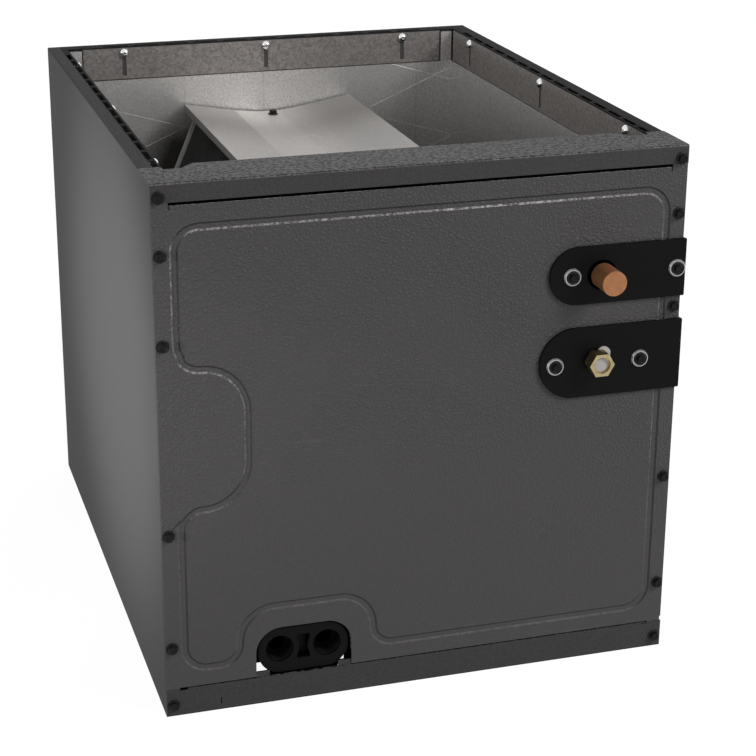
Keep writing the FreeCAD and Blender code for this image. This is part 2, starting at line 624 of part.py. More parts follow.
def build_case_wrapper():
    body = new_body("case_wrapper")
    outer = d.bend_radius
    inner = d.bend_radius - d.gauge
    wall = half_width - d.gauge
    free = half_width - d.return_width
    back = rear - d.gauge
    behind = panel_back + d.gauge
    fill(body, "XY_Plane", [[
        (-free, panel_back), (-half_width, panel_back, outer), (-half_width, rear, outer),
        (half_width, rear, outer), (half_width, panel_back, outer), (free, panel_back),
        (free, behind), (wall, behind, inner), (wall, back, inner),
        (-wall, back, inner), (-wall, behind, inner), (-free, behind)]], 0, top)
    flange_front = front + d.rail_side_depth + d.fit_gap
    flange = u_frame(half_width, rear, flange_front, rim_x, rim_rear, outer)
    fill(body, "XY_Plane", [flange], top - d.gauge, top)
    base_front = front + d.base_rail_depth + d.fit_gap
    base_x = half_width - d.bottom_flange
    base_y = rear - d.bottom_flange
    fill(body, "XY_Plane", [u_frame(half_width, rear, base_front, base_x, base_y, outer)], 0, d.gauge)
    lip_span = d.lip_back_span / 2
    fill(body, "XY_Plane", [
        rect(rim_x, lip_front, rim_x + d.gauge, lip_rear),
        rect(-rim_x - d.gauge, lip_front, -rim_x, lip_rear),
        rect(-lip_span, rim_rear, lip_span, rim_rear + d.gauge)], lip_low, top)
    slot_x = rim_x + d.gauge + d.slot_web
    side_slots = int((rear - d.return_width - d.top_flange).value / d.slot_pitch.value)
    first = -side_slots * d.slot_pitch
    side_slot = cut(body, "XY_Plane", [
        rect(slot_x, first - d.slot_length / 2, slot_x + d.slot_width, first + d.slot_length / 2),
        rect(-slot_x - d.slot_width, first - d.slot_length / 2, -slot_x, first + d.slot_length / 2)],
        top - d.gauge, top)
    repeat(body, side_slot, "Y_Axis", 2 * side_slots + 1, 2 * side_slots * d.slot_pitch)
    slot_y = rim_rear + d.gauge + d.slot_web
    back_slots = int((d.lip_back_span / 2 - d.slot_length).value / d.slot_pitch.value)
    first = -back_slots * d.slot_pitch
    back_slot = cut(body, "XY_Plane", [
        rect(first - d.slot_length / 2, slot_y, first + d.slot_length / 2, slot_y + d.slot_width)],
        top - d.gauge, top)
    repeat(body, back_slot, "X_Axis", 2 * back_slots + 1, 2 * back_slots * d.slot_pitch)
    beyond = half_width + 1
    cut(body, "XY_Plane", [rect(-beyond, front - 1, beyond, flange_front)], top - d.gauge, top + 1)
    cut(body, "XY_Plane", [rect(-beyond, front - 1, beyond, base_front)], -1, d.gauge)
    holes = [(-screw_x, z, screw_hole) for z in left_screws + rail_screws]
    holes += [(screw_x, z, screw_hole) for z in right_screws + rail_screws + [d.suction_z]]
    cut(body, "XZ_Plane", [], panel_back - 0.5, behind + 0.5, circles=holes)
    strip_holes = [(y, d.strip_screw_z, screw_hole) for y in strip_screws_y]
    cut(body, "YZ_Plane", [], rim_x - 0.5, rim_x + d.gauge + 0.5, circles=strip_holes)
    cut(body, "YZ_Plane", [], -rim_x - d.gauge - 0.5, -rim_x + 0.5, circles=strip_holes)
    back_holes = [(x, d.strip_screw_z, screw_hole) for x in strip_screws_x]
    cut(body, "XZ_Plane", [], rim_rear - 0.5, rim_rear + d.gauge + 0.5, circles=back_holes)
    cut(body, "XZ_Plane", [folded_edge(-half_width, top, -1), folded_edge(half_width, top, 1)],
        flange_front, rear + 1)
    cut(body, "YZ_Plane", [folded_edge(rear, top, 1)], -beyond, beyond)
    return body


def build_top_front_rail():
    body = new_body("top_front_rail")
    soft = d.edge_bend
    ramp_start = half_width - d.rail_ramp_start
    ramp_end = half_width - d.rail_ramp_end
    back = front + d.rail_top_depth
    fill(body, "YZ_Plane", [[
        (front, rail_low), (front, top, soft), (back, top, soft), (back, top - d.rail_lip),
        (back - d.gauge, top - d.rail_lip), (back - d.gauge, top - d.gauge),
        (panel_back, top - d.gauge), (panel_back, rail_low)]], -half_width, half_width)
    beyond = half_width + 1
    ear = half_width - d.rail_side_width
    side = front + d.rail_side_depth
    end = front + d.rail_end_depth
    for sign in (1, -1):
        cut(body, "XY_Plane", [[
            (sign * ramp_end, back), (sign * ramp_start, end), (sign * ear, end),
            (sign * ear, side), (sign * beyond, side), (sign * beyond, back + 1),
            (sign * ramp_end, back + 1)]], top - d.rail_lip - 1, top + 1)
    holes = [(side_x, rail_screws[0], screw_hole) for side_x in (-screw_x, screw_x)]
    cut(body, "XZ_Plane", [], front - 0.5, panel_back + 0.5, circles=holes)
    return body


def build_bottom_front_rail():
    body = new_body("bottom_front_rail")
    soft = d.edge_bend
    back = front + d.base_rail_depth
    step = panel_back + d.gauge
    lip_top = d.base_rail_face + 13
    fill(body, "YZ_Plane", [[
        (front, 0, soft), (front, d.base_rail_face), (panel_back, d.base_rail_face), (panel_back, lip_top),
        (step, lip_top), (step, d.base_rail_face - d.gauge), (panel_back, d.base_rail_face - d.gauge),
        (panel_back, d.gauge), (back, d.gauge), (back, 0)]], -half_width, half_width)
    beyond = half_width + 1
    inside = half_width - d.return_width - 1
    low = d.base_rail_face - d.gauge - 0.5
    boss = d.boss_width / 2
    cut(body, "XZ_Plane", [
        rect(-beyond, low, -inside, lip_top + 1),
        rect(inside, low, beyond, lip_top + 1)], panel_back, step + 1)
    cut(body, "XZ_Plane", [[
        (d.drain_centre - boss - 6, d.drain_sill), (d.drain_centre - boss + 9, d.drain_sill),
        (d.drain_centre - boss + 9, d.base_rail_face), (d.drain_centre + boss - 9, d.base_rail_face),
        (d.drain_centre + boss - 9, d.drain_sill), (d.drain_centre + boss + 6, d.drain_sill),
        (d.drain_centre + boss + 6, lip_top + 1), (d.drain_centre - boss - 6, lip_top + 1)]],
        panel_back - 0.5, step + 1)
    relief = d.base_rail_face - d.base_notch
    slit = d.return_width + 22
    cut(body, "XZ_Plane", [
        rect(-ear_x - 2, relief, -ear_x - 2 + d.base_notch_width, d.base_rail_face + 1),
        rect(ear_x - d.base_notch_width, relief, ear_x, d.base_rail_face + 1),
        rect(slit - half_width, relief / 4, slit + 0.8 - half_width, relief / 2)], front - 0.5, panel_back)
    holes = [(side_x, rail_screws[1], screw_hole) for side_x in (-screw_x, screw_x)]
    cut(body, "XZ_Plane", [], front - 0.5, panel_back + 0.5, circles=holes)
    return body


def bead_path():
    """Centre line of the embossed bead, starting in the middle of its top run."""
    left = -half_width + d.bead_inset
    right = half_width - d.bead_inset
    foot = d.bead_arch_foot
    arch_left = d.bead_arch_centre - d.bead_arch_width / 2
    arch_right = d.bead_arch_centre + d.bead_arch_width / 2
    low = d.bead_notch_centre - d.bead_notch_height / 2
    high = d.bead_notch_centre + d.bead_notch_height / 2
    notch = left + d.bead_notch_depth
    return [(0, d.bead_top), (right, d.bead_top, d.bead_corner), (right, d.bead_bottom, d.bead_corner),
            (arch_right, d.bead_bottom, foot), (arch_right, d.bead_arch_top, d.bead_arch_radius),
            (arch_left, d.bead_arch_top, d.bead_arch_radius), (arch_left, d.bead_bottom, foot),
            (left, d.bead_bottom, d.bead_corner), (left, low, d.bead_corner),
            (notch, low, d.bead_notch_radius), (notch, high, d.bead_notch_radius),
            (left, high, d.bead_corner), (left, d.bead_top, d.bead_corner)]


def sweep_bead(body, kind, face, crest, foot_half, crest_half):
    """Run a trapezoid along the bead's centre line."""
    spine = sketch_on(body, "XZ_Plane", [bead_path()], -front)
    section = sketch_on(body, "YZ_Plane", [[
        (face, d.bead_top - foot_half), (face, d.bead_top + foot_half),
        (crest, d.bead_top + crest_half), (crest, d.bead_top - crest_half)]], 0)
    pipe = body.newObject(kind, "Bead")
    pipe.Profile = section
    pipe.Spine = (spine, [f"Edge{k + 1}" for k in range(spine.GeometryCount)])
    body.Tip = pipe
    return pipe


def build_access_panel():
    body = new_body("access_panel")
    ear_top = rail_low - d.seam
    middle = rail_low - d.panel_gap
    relief = rail_low - d.relief_depth
    foot_edge = d.base_rail_face + d.foot_gap
    inner_ear = ear_x - d.relief_width
    drain_left = d.drain_centre - d.drain_width / 2
    drain_right = d.drain_centre + d.drain_width / 2
    fill(body, "XZ_Plane", [[
        (-ear_x + 5, panel_low), (-panel_x, panel_low), (-panel_x, ear_top), (-ear_x, ear_top),
        (-ear_x, relief),
        (-inner_ear, relief), (-inner_ear, middle), (inner_ear, middle), (inner_ear, relief),
        (ear_x, relief), (ear_x, ear_top), (panel_x, ear_top), (panel_x, panel_low + 3.8),
        (panel_x - 1.5, panel_low + 3.8), (panel_x - 1.5, panel_low), (ear_x, panel_low),
        (ear_x, foot_edge),
        (drain_right, foot_edge), (drain_right, d.drain_top, d.drain_corner),
        (drain_left, d.drain_top, d.drain_corner), (drain_left, foot_edge), (-ear_x + 5, foot_edge)]],
        front, panel_back)
    fold = half_width - d.return_width - 1
    fill(body, "XY_Plane", [rect(-fold, front, fold, front + d.panel_fold)], middle - d.gauge, middle)
    doc.recompute()
    foot = d.bead_width / 2
    crest = d.bead_crest / 2
    sweep_bead(body, "PartDesign::AdditivePipe", front + d.gauge / 3, front - d.bead_height, foot, crest)
    sweep_bead(body, "PartDesign::SubtractivePipe", panel_back + 0.1, front + d.gauge - d.bead_height,
               foot - 0.6 * d.gauge, crest - 0.3 * d.gauge)
    suction = d.suction_od / 2 + d.line_room
    liquid = d.tube_od / 2 + d.line_room
    beyond = panel_x + 1
    left, low, high = d.suction_x - suction, d.suction_z - suction, d.suction_z + suction
    cut(body, "XZ_Plane", [
        [(left, low, suction), (left, high, suction), (beyond, high), (beyond, low)],
        round_rect(d.liquid_x - liquid, d.liquid_z - liquid, d.liquid_x + 3 * liquid, d.liquid_z + liquid,
                   liquid)],
        front - d.bead_height - 1, panel_back + 1)
    holes = [(-screw_x, z, screw_hole) for z in left_screws]
    holes += [(screw_x, z, screw_hole) for z in right_screws]
    holes += [(x, z, screw_hole) for x, z in plate_screws if x is not screw_x]
    cut(body, "XZ_Plane", [], front - 0.5, panel_back + 0.5, circles=holes)
    return body


# Foil-faced liner and the duct flanges

def build_insulation(sign, label):
    """Liner on one side wall, with its rear corner rounded to the wall's bend."""
    body = new_body(label)
    wall = half_width - d.gauge
    fill(body, "XY_Plane", [[
        (sign * liner_face, front + 15), (sign * wall, front + 15),
        (sign * wall, rear - d.gauge, d.bend_radius), (sign * liner_face, rear - d.gauge)]],
        d.gauge + 1.5, d.insulation_top)
    return body


def build_insulation_back():
    body = new_body("insulation_back")
    ear = d.lip_back_span / 2 + 2 * d.fit_gap
    foot = d.gauge + 1.5
    ear_top = top - 2.2
    fill(body, "XZ_Plane", [[
        (-liner_face, foot), (liner_face, foot), (liner_face, ear_top), (ear, ear_top),
        (ear, d.insulation_top), (-ear, d.insulation_top), (-ear, ear_top), (-liner_face, ear_top)]],
        liner_rear, rear - d.gauge)
    return body


def build_insulation_panel():
    """Liner behind the access panel, cut away for the drain boss and the two lines."""
    body = new_body("insulation_panel")
    side = half_width - d.return_width - 1.25
    foot = d.base_rail_face + 14
    boss = d.boss_width / 2 + 2.5
    window_left = d.liquid_plate_left + 2 * d.line_room
    window_low = d.liquid_plate_z - d.liquid_plate_height / 2 - 2 * d.line_room
    window_high = d.suction_plate_z + d.suction_plate_height / 2 + 2 * d.line_room
    fill(body, "XZ_Plane", [[
        (-side, foot), (d.drain_centre - boss, foot), (d.drain_centre - boss, d.drain_top + 5.5),
        (d.drain_centre + boss, d.drain_top + 5.5), (d.drain_centre + boss, foot), (side, foot),
        (side, window_low), (window_left, window_low), (window_left, window_high),
        (side, window_high), (side, rail_low - 5), (-side, rail_low - 5)]],
        panel_back, panel_back + d.panel_insulation)
    return body


def slot_at(middle):
    """A clamping slot of a duct flange."""
    low = d.strip_foot + 3.2
    half = d.strip_slot_width / 2
    return rect(middle - half, low, middle + half, low + d.strip_slot_height)


def build_side_flange(sign, label):
    body = new_body(label)
    near, far = (rim_x - d.thin_gauge, rim_x) if sign > 0 else (-rim_x, d.thin_gauge - rim_x)
    reach = rear - d.strip_end
    outline = rect(d.strip_shift - reach, d.strip_foot, d.strip_shift + reach, d.strip_foot + d.strip_height)
    fill(body, "YZ_Plane", [outline] + [slot_at(y) for y in strip_screws_y], near, far)
    return body


def build_back_flange():
    body = new_body("duct_flange_back")
    reach = d.lip_back_span / 2 - 1
    outline = rect(-reach, d.strip_foot, reach, d.strip_foot + d.strip_height)
    slots = [slot_at(x) for x in strip_screws_x]
    fill(body, "XZ_Plane", [outline] + slots, rim_rear - d.thin_gauge, rim_rear)
    return body


# The two slabs, which lean together under the cap. A point on a slab is given by its distance
# down the slab and its depth from the outer face.

slab_depth = 2 * d.row_pitch
tube_radius = d.tube_od / 2
tube_hole = tube_radius + d.hole_clearance
sheet_front = d.coil_front - d.plate_gauge
sheet_rear = d.coil_back + d.plate_gauge
joint_y = sheet_front - 3
cap_under = d.thin_gauge * 1.05 + d.fit_gap
saddle_top = d.pan_upstand + 4


def on_slab(sign, down, inward):
    x = d.slab_top_x + lean_x * down - lean_z * inward
    z = d.slab_top_z - lean_z * down - lean_x * inward
    return sign * x, z


def tube_at(sign, row, index):
    """Centre of a tube: row 0 is the outer one, index 0 the uppermost."""
    return on_slab(sign, (index + 0.5) * d.tube_pitch, (row + 0.5) * d.row_pitch)


def tube_holes(sign):
    return [tube_at(sign, row, index) + (tube_hole,) for row in (0, 1) for index in range(tube_count)]


def inner_line(z):
    """X of the slab's inner face at a height."""
    return d.slab_top_x - lean_z * slab_depth + lean_x / lean_z * (d.slab_top_z - lean_x * slab_depth - z)


def below_cap(x):
    """Height just under the sloping part of the cap."""
    slope = (d.cap_edge_z - d.cap_fold_z) / (d.cap_half - d.cap_fold_x)
    return d.cap_fold_z + (x - d.cap_fold_x) * slope - cap_under


def build_fin_pack(sign, label):
    """Stacked fins with through holes; grooves on both faces part the fins."""
    body = new_body(label)
    corners = [on_slab(sign, 0, 0), on_slab(sign, slab_length, 0),
               on_slab(sign, slab_length, slab_depth), on_slab(sign, 0, slab_depth)]
    fill(body, "XZ_Plane", [corners], d.coil_front, d.coil_back, circles=tube_holes(sign))

    def strip(shallow, deep):
        return [on_slab(sign, -1, shallow), on_slab(sign, slab_length + 1, shallow),
                on_slab(sign, slab_length + 1, deep), on_slab(sign, -1, deep)]

    first = d.coil_front + d.fin_pitch - d.fin_gap
    groove = cut(body, "XZ_Plane", [strip(-1, d.fin_groove), strip(slab_depth - d.fin_groove, slab_depth + 1)],
                 first, first + d.fin_gap)
    room = d.coil_back.value - d.coil_front.value - d.fin_pitch.value
    count = int(room / d.fin_pitch.value) + 1
    repeat(body, groove, "Y_Axis", count, (count - 1) * d.fin_pitch)
    return body


def build_tube_sheet(sign, start, label):
    """End plate of a slab: it carries the cap and stands on the pan's saddles."""
    body = new_body(label)
    upper_x = on_slab(1, -1, -d.sheet_overhang)[0]
    inner_x = on_slab(1, -12, slab_depth)[0]
    clip_x = d.pan_half - d.pan_wall - 2 * d.fit_gap
    reach = (clip_x - d.slab_top_x - lean_z * d.sheet_overhang) / lean_x
    clip_z = d.slab_top_z - lean_z * reach + lean_x * d.sheet_overhang
    foot = saddle_top + d.fit_gap
    fill(body, "XZ_Plane", [[
        (sign * upper_x, below_cap(upper_x)), (sign * clip_x, clip_z), (sign * clip_x, foot),
        (sign * inner_line(foot), foot), (sign * inner_x, below_cap(inner_x))]],
        start, start + d.plate_gauge, circles=tube_holes(sign))
    return body


def build_delta_plate(start, label, flanged=False):
    """Plate that closes the triangle between the slabs, with a flange for the cap's screw on the rear one."""
    body = new_body(label)
    high = d.cap_valley_z - cap_under
    low = saddle_top + d.fit_gap
    over = d.delta_overlap / lean_z
    fill(body, "XZ_Plane", [[
        (-inner_line(high) - over, high), (inner_line(high) + over, high),
        (inner_line(low) + over, low), (-inner_line(low) - over, low)]],
        start, start + d.thin_gauge)
    if flanged:
        reach = d.delta_flange_width / 2
        shelf = rect(-reach, start, reach, start + d.delta_flange)
        fill(body, "XY_Plane", [shelf], high - d.thin_gauge, high)
        cut(body, "XY_Plane", [], high - d.thin_gauge - 1, high + 1,
            circles=[(d.cap_screw_x, sheet_rear + d.cap_screw_back, screw_hole)])
    return body


def build_hairpins(sign, label):
    """Long U tubes: both legs run through the fins and bend behind the rear tube sheet."""
    members = []
    turn_y = sheet_rear + d.bend_stub + d.tube_pitch / 2
    for row in (0, 1):
        for index in range(0, tube_count - 1, 2):
            (xa, za), (xb, zb) = tube_at(sign, row, index), tube_at(sign, row, index + 1)
            members.append(tube(f"{label}_{row}_{index}", [
                (xa, joint_y, za), (xa, turn_y, za), (xb, turn_y, zb), (xb, joint_y, zb)],
                d.tube_pitch / 2, d.tube_od))
    return grouped(label, members)


def build_return_bends(sign, label):
    """Short bends in front that join one hairpin to the next."""
    lower = [*range(1, middle_tube - 1, 2), *range(middle_tube + 1, tube_count - 1, 2)]
    pairs = [((row, index), (row, index + 1)) for row in (0, 1) for index in lower]
    pairs += [((0, 0), (1, 0)), ((0, tube_count - 1), (1, tube_count - 1))]
    members = []
    for number, (one, other) in enumerate(pairs):
        (xa, za), (xb, zb) = tube_at(sign, *one), tube_at(sign, *other)
        gap = d.tube_pitch if one[0] == other[0] else d.row_pitch
        turn_y = joint_y - d.bend_stub - gap / 2
        members.append(tube(f"{label}_{number}", [
            (xa, joint_y, za), (xa, turn_y, za), (xb, turn_y, zb), (xb, joint_y, zb)], gap / 2, d.tube_od))
    return grouped(label, members)


def build_cap():
    """Dished cap over both slabs, with hanging side flanges and one screw into the rear end plate."""
    body = new_body("coil_top_cap")
    thin = d.thin_gauge
    drop = thin * 1.05
    half, fold, valley = d.cap_half, d.cap_fold_x, d.cap_valley_x
    edge, fold_z, valley_z = d.cap_edge_z, d.cap_fold_z, d.cap_valley_z
    foot = edge - d.cap_flange
    fill(body, "XZ_Plane", [[
        (-half, foot), (-half, edge), (-fold, fold_z), (-valley, valley_z), (valley, valley_z),
        (fold, fold_z), (half, edge), (half, foot), (half - thin, foot), (half - thin, edge - drop * 1.2),
        (fold, fold_z - drop), (valley, valley_z - drop), (-valley, valley_z - drop),
        (-fold, fold_z - drop), (thin - half, edge - drop * 1.2), (thin - half, foot)]],
        d.coil_front, d.cap_rear)
    cut(body, "XY_Plane", [], valley_z - thin - 1, valley_z + 1,
        circles=[(d.cap_screw_x, sheet_rear + d.cap_screw_back, screw_hole)])
    return body


# The drain pan: a trough round an air opening, with two sockets in a boss at the front

def build_drain_pan():
    body = new_body("drain_pan")
    half, wall = d.pan_half, d.pan_wall
    face, back, base, rim = d.pan_front, d.pan_back, d.pan_base, d.pan_rim
    open_x, open_front, open_back = d.pan_open_half, d.pan_open_front, d.pan_open_back
    floor = base + d.pan_floor
    fill(body, "XY_Plane", [round_rect(-half, face, half, back, d.pan_corner)], base, rim)
    cut(body, "XY_Plane", [
        round_rect(wall - half, face + wall, half - wall, back - wall, d.pan_corner - wall),
        rect(-open_x - wall, open_front - wall, open_x + wall, open_back + wall)], floor, rim)
    cut(body, "XY_Plane", [
        rect(-open_x - wall - 0.5, open_front - wall - 0.5, open_x + wall + 0.5, open_back + wall + 0.5)],
        d.pan_upstand, rim + 1)
    cut(body, "XY_Plane", [rect(-open_x, open_front, open_x, open_back)], base - 1, d.pan_upstand + 1)
    inner, outer = open_x + wall / 2, half - wall / 2
    for middle in (sheet_front + d.plate_gauge / 2, sheet_rear - d.plate_gauge / 2):
        fill(body, "XZ_Plane", [rect(-outer, base, -inner, saddle_top), rect(inner, base, outer, saddle_top)],
             middle - d.rib_thickness, middle + d.rib_thickness)
    span = d.coil_back - d.coil_front
    step = span / (d.rib_count - 1)
    first = d.coil_front + step
    rib_top = base + 30
    rib = fill(body, "XZ_Plane", [rect(-outer, base, -inner, rib_top), rect(inner, base, outer, rib_top)],
               first - d.rib_thickness / 2, first + d.rib_thickness / 2)
    ribs = round(d.rib_count.value) - 2
    repeat(body, rib, "Y_Axis", ribs, (ribs - 1) * step)
    weep = (inner + outer) / 2
    cut(body, "XZ_Plane", [
        rect(-weep - 6, floor, -weep + 6, floor + 8), rect(weep - 6, floor, weep + 6, floor + 8)],
        face + wall + 1, back - wall - 1)
    boss_front = front + d.boss_face
    reach, rise = d.boss_width / 2, d.boss_rise
    fill(body, "XZ_Plane", [round_rect(d.drain_centre - reach, d.boss_z - rise - d.boss_drop,
                                       d.drain_centre + reach, d.boss_z + rise, rise)],
         boss_front, face + wall - 0.2)
    cut(body, "XZ_Plane", [rect(
        d.drain_centre - d.recess_width / 2, d.boss_z - d.recess_height / 2,
        d.drain_centre + d.recess_width / 2, d.boss_z + d.recess_height / 2)],
        boss_front, boss_front + d.recess_depth)
    bore = d.socket_bore / 2
    sockets = [d.drain_centre - d.socket_pitch / 2, d.drain_centre + d.socket_pitch / 2]
    collars = [(x, d.boss_z, bore + 4.8) for x in sockets] + [(x, d.boss_z, bore) for x in sockets]
    fill(body, "XZ_Plane", [], boss_front, boss_front + d.recess_depth, circles=collars)
    cut(body, "XZ_Plane", [], boss_front - 1, boss_front + d.socket_depth,
        circles=[(x, d.boss_z, bore) for x in sockets])
    cut(body, "XZ_Plane", [], boss_front + d.socket_depth - 1, face + wall + 1,
        circles=[(x, d.boss_z, d.outlet_bore / 2) for x in sockets])
    return body


def build_pan_rail(sign, label):
    """Galvanised rail that stands on the bottom flange and carries the pan on its ledge."""
    body = new_body(label)
    sheet = d.plate_gauge
    web = half_width - d.bottom_flange
    toe = half_width - d.gauge - 1.3
    foot = d.gauge
    shelf = d.pan_base
    fill(body, "XZ_Plane", [[
        (sign * toe, foot), (sign * toe, foot + sheet), (sign * web, foot + sheet), (sign * web, shelf),
        (sign * (web - d.ledge), shelf), (sign * (web - d.ledge), shelf - sheet),
        (sign * (web - sheet), shelf - sheet), (sign * (web - sheet), foot)]],
        front + d.base_rail_depth + 2 * d.fit_gap, rim_rear - 4.8)
    return body


# Refrigerant lines in front of the slabs

line_radius = d.suction_od / 2
plate_face = front - d.line_plate
nut_front = front - d.nut_reach
nut_rear = nut_front + d.nut_length
d.header_foot = tube_at(1, 0, middle_tube)[1] - 44.2 - d.header_tail
d.bulb_foot = d.header_foot + d.bulb_rise
bulb_y = d.header_y - line_radius - d.bulb_od / 2 - d.fit_gap / 2


def build_suction_header():
    """Header with its outlet stub, closed by a soldered copper cap."""
    tip = front - d.suction_reach
    run = tube("header_run", [
        (d.header_x, d.header_y, d.header_foot), (d.header_x, d.header_y, d.suction_z),
        (d.suction_x, d.header_y, d.suction_z), (d.suction_x, tip + 1, d.suction_z)],
        d.header_bend, d.suction_od)
    stub_cap = cylinder("stub_cap", d.stub_od / 2, d.suction_reach - d.line_plate - 1.5,
                        d.suction_x, tip + d.suction_reach - d.line_plate - 1.5, d.suction_z, TO_FRONT)
    return fused("suction_header", [run, stub_cap])


def build_suction_branches():
    """Four outlets into the header, saddled on its wall."""
    y, x = d.header_y, d.header_x
    members = []
    for index, rise, turn in ((middle_tube - 1, 24, 42.4), (middle_tube, -28, -44.2)):
        outlet_x, outlet_z = tube_at(1, 0, index)
        members.append(tube(f"branch_right_{index}", [
            (outlet_x, joint_y, outlet_z), (outlet_x, y, outlet_z), (x, y, outlet_z)], 12, d.tube_od))
        members.append(tube(f"branch_left_{index}", [
            (-outlet_x, joint_y, outlet_z), (-outlet_x, y, outlet_z), (-outlet_x, y, outlet_z + rise),
            (-outlet_x + 24, y, outlet_z + turn), (x, y, outlet_z + turn)], 12, d.tube_od))
    core = cylinder("header_core", line_radius + 0.05, d.suction_z - d.header_foot, x, y, d.header_foot - 20)
    return minus("suction_branches", grouped("branches", members), core)


def build_liquid_line():
    return tube("liquid_line", [
        (d.liquid_x, nut_rear, d.liquid_z), (d.liquid_x, d.liquid_y, d.liquid_z),
        (d.valve_start, d.liquid_y, d.liquid_z)], 12, d.tube_od)


def build_liquid_fitting():
    """Brass hexagon with an open front that takes the white plug."""
    blank = hexagon("fitting_blank", d.nut_flats, d.nut_length, d.liquid_x, nut_rear, d.liquid_z, TO_FRONT)
    depth = d.plug_length + d.plug_recess
    bore = cylinder("fitting_bore", d.plug_od / 2 + d.hole_clearance, depth,
                    d.liquid_x, nut_front + depth, d.liquid_z, TO_FRONT)
    mouth = cylinder("fitting_mouth", d.fitting_mouth / 2, d.plug_recess,
                     d.liquid_x, nut_front + d.plug_recess, d.liquid_z, TO_FRONT)
    return minus("liquid_line_fitting", blank, fused("fitting_hollow", [bore, mouth]))


def build_plug():
    return cylinder("liquid_line_plug", d.plug_od / 2, d.plug_length,
                    d.liquid_x, nut_front + d.plug_length + d.plug_recess, d.liquid_z, TO_FRONT)


def build_bushing():
    """White button on the plate beside the fitting, notched round the liquid line."""
    disc = cylinder("button_disc", d.button_od / 2, 1.6, d.liquid_x + d.button_right, plate_face,
                    d.liquid_z + d.button_up, TO_FRONT)
    notch = cylinder("button_notch", tube_hole, 6, d.liquid_x, plate_face + 2, d.liquid_z, TO_FRONT)
    return minus("liquid_line_bushing", disc, notch)


def build_expansion_valve():
    barrel = cylinder("valve_barrel", d.valve_od / 2, d.valve_length,
                      d.valve_start, d.liquid_y, d.liquid_z, TO_LEFT)
    neck = cylinder("valve_neck", d.valve_neck / 2, d.valve_od / 2 + 1.5, d.valve_start - d.valve_length / 3,
                    d.liquid_y, d.liquid_z)
    return fused("expansion_valve", [barrel, neck])


def build_power_head():
    x, y, z = d.valve_start - d.valve_length / 3, d.liquid_y, d.liquid_z + d.valve_od / 2 + 1.5
    flange = cylinder("head_flange", d.power_head_od / 2, 4, x, y, z)
    dome = cone("head_dome", d.power_head_od / 2 - 1, 5, 4, x, y, z + 4)
    cup = cylinder("head_cup", 3, 2, x, y, z + 8)
    return fused("power_head", [flange, dome, cup])


def build_distributor():
    return cone("distributor", 6, d.distributor_od / 2, d.distributor_length,
                d.valve_start - d.valve_length, d.liquid_y, d.liquid_z, TO_LEFT)


def build_feeders():
    """Four thin tubes from the distributor to the inlets of the inner rows."""
    start = d.valve_start - d.valve_length - d.distributor_length
    members = []
    for index, y, run_x, left_x in ((middle_tube - 1, d.liquid_y + 5, start - 20, -start),
                                    (middle_tube, d.liquid_y - 5, start - 34, 10 - start)):
        inlet_x, inlet_z = tube_at(1, 1, index)
        high, low = d.liquid_z + 5, d.liquid_z - 5
        members.append(tube(f"feeder_right_{index}", [
            (start, y, low), (run_x, y, low), (run_x, y, inlet_z), (inlet_x, y, inlet_z),
            (inlet_x, joint_y, inlet_z)], 7, d.feeder_od))
        members.append(tube(f"feeder_left_{index}", [
            (start, y, high), (start / 4, y, high), (left_x, y, inlet_z), (-inlet_x, y, inlet_z),
            (-inlet_x, joint_y, inlet_z)], 7, d.feeder_od))
    return grouped("feeder_tubes", members)


def build_sensing_bulb():
    """Bulb on the header with its capillary from the valve's head."""
    bulb = cylinder("bulb", d.bulb_od / 2, d.bulb_length, d.header_x, bulb_y, d.bulb_foot)
    x, y, z = d.valve_start - d.valve_length / 3, d.liquid_y, d.liquid_z + d.valve_od / 2 + 11.5
    capillary = tube("capillary", [
        (x, y, z), (x, y, z + 15), (d.header_x, bulb_y, z + 15),
        (d.header_x, bulb_y, d.bulb_foot + d.bulb_length - 1)], 6, d.capillary_od)
    return fused("sensing_bulb", [bulb, capillary])


def build_bulb_strap():
    body = new_body("bulb_strap")
    gap, band = d.fit_gap / 2, sized(0.6)
    inner = line_radius + gap
    outer = inner + band
    face = bulb_y - d.bulb_od / 2 - gap
    low = d.bulb_foot + 30
    fill(body, "XY_Plane", [
        round_rect(d.header_x - outer, face - band, d.header_x + outer, d.header_y + outer, outer),
        round_rect(d.header_x - inner, face, d.header_x + inner, d.header_y + inner, inner)], low, low + 9)
    return body


# Black plates round the two lines, and every fastener

def build_line_plate(label, left, middle, height, holes):
    """Rounded plate with a wrap down the case's side and relief for the bead behind it."""
    body = new_body(label)
    low, high = middle - height / 2, middle + height / 2
    fill(body, "XZ_Plane", [[
        (left, low, height / 2), (left, high, height / 2), (d.plate_right, high, sized(1)),
        (d.plate_right, low, sized(1))]], plate_face, front, circles=holes)
    fill(body, "XZ_Plane", [rect(half_width + d.seam, low + 1, d.plate_right, high - 1)],
         front - 1, front + d.plate_wrap)
    bead = half_width - d.bead_inset
    room = d.bead_width / 2 + 0.5
    cut(body, "XY_Plane", [rect(bead - room, front - d.bead_height - 0.15, bead + room, front + 0.5)],
        low - 1, high + 1)
    return body


def build_plate_washers():
    """Dished finishing washers under the plates' screws."""
    body = new_body("washer")
    outer, high = d.washer_od / 2, d.washer_height
    section = sketch_on(body, "XZ_Plane", [[
        (screw_hole, 0), (outer, 0), (outer, 0.4), (outer - 0.8, high), (outer - 1.6, high),
        (outer - 1.9, 0.5), (screw_hole, 0.5)]], 0)
    ring = body.newObject("PartDesign::Revolution", "Revolution")
    ring.Profile = section
    ring.ReferenceAxis = (plane_of(body, "Z_Axis"), [""])
    ring.Angle = 360
    body.Tip = ring
    return scattered("plate_washers", body, [((x, plate_face, z), TO_FRONT) for x, z in plate_screws])


